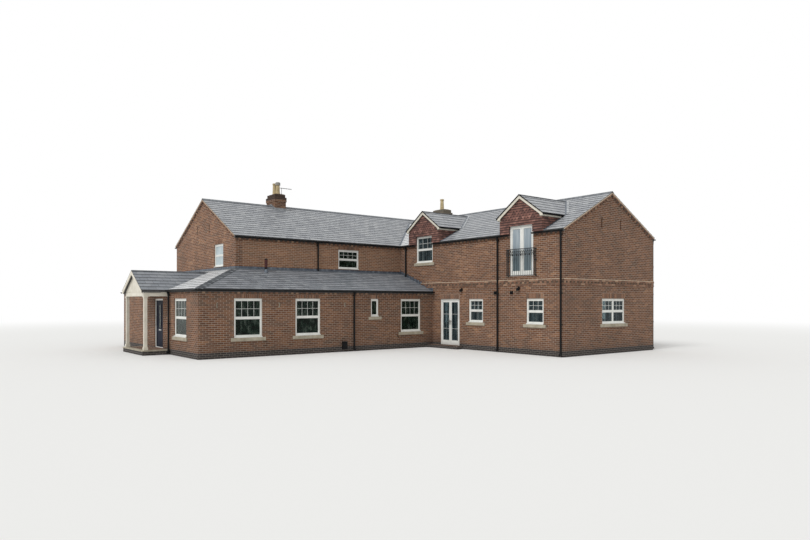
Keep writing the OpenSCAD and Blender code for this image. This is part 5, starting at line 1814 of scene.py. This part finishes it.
# %%  Flaunching and lead of the stacks
stacks = separate_solids("chimney_stacks")
cap_half = np.array([0.275, 0.425, 0.0])
ring = np.array([(-1, -1, 0), (1, -1, 0), (1, 1, 0), (-1, 1, 0)])
lead_steps, lead_out = 4, 0.008
mortar_caps, foot_lead = [], []
for lowest, highest in stacks:
    middle = (lowest + highest) / 2
    middle[2] = 0.0
    outer = middle + ring * cap_half + (highest[2] - 0.002) * UP
    inner = middle + ring * cap_half * (0.62, 0.75, 0) + (highest[2] + 0.04) * UP
    mortar_caps.append([*outer, *inner])
    on_wing = middle[0] > wing_x
    crest = wing_ridge_z if on_wing else ridge_z
    across, along = (0, 1) if on_wing else (1, 0)
    half = (highest - lowest - 0.05) / 2
    for sign in (-1, 1):
        def lead_row(from_ridge, to_ridge, ends, z0, z1):
            """A box row in house axes: two distances down one slope, and two places along the ridge."""
            down = sorted(middle[across] + sign * s for s in (from_ridge, to_ridge))
            level = sorted(middle[along] + e for e in ends)
            return [*down, *level, z0, z1] if on_wing else [*level, *down, z0, z1]

        for k in range(lead_steps):
            a = k * half[across] / lead_steps
            b = (k + 1) * half[across] / lead_steps + 0.01
            for end in (-1, 1):
                ends = (end * half[along], end * (half[along] + lead_out))
                z0, z1 = crest - b * main_rise - 0.03, crest - a * main_rise + 0.10
                foot_lead.append(lead_row(a, b, ends, z0, z1))
        z = crest - half[across] * main_rise
        ends = (-half[along], half[along])
        foot_lead.append(lead_row(half[across], half[across] + 0.01, ends, z - 0.03, z + 0.13))
block_piece("chimney_flaunching", [mortar_caps], (soot_and_shade_brick, "brick"), seed=81)
block_piece("chimney_lead", [boxes(left_front, foot_lead)], (pale_lead, "slate"), seed=82)
print(len(foot_lead), "pieces of lead round", len(stacks), "stacks")

# %%  Cowl and aerial
pots = separate_solids("chimney_pots")
capped = min((pot for pot in pots if pot[low][0] < wing_x), key=lambda pot: pot[low][1])
cowl_x, cowl_y = (capped[low][:2] + capped[high][:2]) / 2
cowl_profile = [(0.104, 0.0), (0.124, 0.005), (0.124, 0.11), (0.11, 0.14), (0.06, 0.155), (0.004, 0.16)]
cowl = turned((cowl_x, cowl_y, capped[high][2] - 0.13), cowl_profile, 18)
piece("pot_cowl", [cowl], (concrete, "buff_clay"))
aerial_x = (stacks[0][low][0] + stacks[0][high][0]) / 2
mast_x, mast_y, boom_z = aerial_x + 0.24, left_ridge_run - 0.1, 7.77
aerial = [
    tube([(mast_x, mast_y, 7.33), (mast_x, mast_y, 7.79)], 0.011, 6),
    tube([(aerial_x + 0.12, mast_y, boom_z), (aerial_x + 0.80, mast_y, boom_z)], 0.012, 6),
]
for x in aerial_x + 0.2 + np.arange(7) * 0.09:
    aerial.append(tube([(x, mast_y - 0.09, boom_z), (x, mast_y + 0.09, boom_z)], 0.006, 5))
piece("aerial", aerial, iron_finish)
print(len(pots), "pots, one with a cowl")

# %% [markdown]
# ## Soldier courses and small fittings
# Over the windows in the brick walls and over the French doors, bricks stand on end. Small vents, wall
# lights, a tap and a meter box finish the walls. They are tiny in the picture, but a wall with nothing on
# it looks like a model.

# %%  Soldier courses
soldier_out, soldier_joint_out = -0.0035, -0.0015
short_soldier, long_soldier = 0.165, 0.215
soldiers, soldier_joints = [], []
for wall, a, b, z0, z in window_frames:
    if wall == "wing_side" and z0 > 3.5:
        continue
    under_teeth = z > 4 and z + long_soldier > main_teeth[0]
    tall = short_soldier if wall.startswith("lean") or under_teeth else long_soldier
    count = round((b - a) / brick_high)
    each = (b - a) / count
    u = a + 0.005 + np.arange(count) * (b - a) / count
    rows = [[s, s + each - 0.01, soldier_out, sunk, z + 0.006, z + tall] for s in u]
    soldiers.append(boxes(WALLS[wall], rows))
    joint_row = [a, u[-1] + 0.07, soldier_joint_out, sunk, z + 0.002, z + tall + 0.004]
    soldier_joints.append(boxes(WALLS[wall], joint_row))
(a, b), depth, (z0, z) = wall_box(wing_side, *house_box("french_door_frame"))
u = np.arange(a + 0.005, b - 0.05, brick_high)
door_soldiers = [[s, min(s + 0.065, b), soldier_out, sunk, z + 0.006, z + long_soldier] for s in u]
soldiers.append(boxes(wing_side, door_soldiers))
soldier_joints.append(boxes(wing_side, [a, b, soldier_joint_out, sunk, z + 0.002, z + 0.22]))
block_piece("soldier_bricks", soldiers, (cut_brick, "brick"), seed=91)
block_piece("soldier_joints", soldier_joints, (mortar, "brick"), seed=92)
print(sum(map(len, soldiers)), "bricks on end")

# %%  Vents and box
dark_rows, pale_rows = [], []
vent_z = (1.89, 2.07)
for x in (-1.82, 0.73, 3.78):
    pale_rows.append(boxes(lean_front, [x - 0.016, x + 0.016, -0.012, sunk, *vent_z]))
    slots = [[x - 0.008, x + 0.008, -0.014, -0.011, z, z + 0.012] for z in 1.90 + 0.028 * np.arange(6)]
    # The dark strip right of each pale vent is a painted shadow; the slots are real louvres.
    dark_rows.append(boxes(lean_front, [[x + 0.016, x + 0.03, -0.01, sunk, *vent_z], *slots]))
for u in (6.55, 7.46):
    slots = [[u - 0.065, u + 0.065, -0.045, -0.03, z, z + 0.025] for z in 2.43 + 0.04 * np.arange(3)]
    dark_rows.append(boxes(wing_side, [[u - 0.075, u + 0.075, -0.03, sunk, 2.42, 2.55], *slots]))
dark_rows.append(boxes(lean_front, [
    [3.64, 3.86, -0.09, sunk, 0.12, 0.42], [3.63, 3.87, -0.10, sunk, 0.41, 0.435],
]))
block_piece("vent_frames", pale_rows, (cast_stone, "sill_stone"), seed=93)
block_piece("vent_louvres", dark_rows, plastic_finish, seed=94)
print(len(pale_rows), "pale vents")

# %%  Wall lights, tap and frosted panes
lamp_z, tap_u = 2.67, 6.56
fittings = []
for u in (4.52, 7.87):
    for d, z, r in ((-0.03, lamp_z, 0.045), (-0.11, 2.62, 0.055)):
        profile = [(0.01, -0.07), (r, -0.065), (r, 0.02), (r * 0.6, 0.05), (0.01, 0.055)]
        fittings.append(turned(on_wall(wing_side, u, d, z), profile, 12))
    fittings.append(tube(on_wall(wing_side, u, [0.0, -0.05, -0.11], lamp_z), 0.014, 8))
spout = on_wall(lean_front, tap_u, [0.0, -0.05, -0.09, -0.12, -0.125], [0.56, 0.56, 0.565, 0.55, 0.50])
fittings.append(tube(spout, 0.012, 8))
tap_head = [(0.008, 0.0), (0.008, 0.03), (0.035, 0.034), (0.035, 0.042), (0.008, 0.046)]
fittings.append(turned(on_wall(lean_front, tap_u, -0.07, 0.565), tap_head, 10))
piece("wall_fittings", fittings, plastic_finish)
frosted_panes = []
for wall, a, b, z0, z1 in panes:
    if wall == "left_gable":
        side, rail = stile + bead, meeting_rail + bead
        frosted_panes.append(boxes(left_gable, [a + side, b - side, *thin_pane, z0 + rail, z1 - rail]))
block_piece("frosted_panes", frosted_panes, (frosted, "window_glass"), seed=95)
print(len(fittings), "small fittings")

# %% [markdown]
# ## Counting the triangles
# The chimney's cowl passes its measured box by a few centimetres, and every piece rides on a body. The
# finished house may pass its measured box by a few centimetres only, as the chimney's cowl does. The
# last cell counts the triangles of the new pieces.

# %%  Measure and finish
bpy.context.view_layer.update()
triangles = {name: sum(len(p.vertices) - 2 for p in made.data.polygons) for name, made in made_pieces.items()}
most = max(triangles, key=triangles.get)
print(len(made_pieces), "pieces,", sum(triangles.values()), "triangles, most in", most, triangles[most])
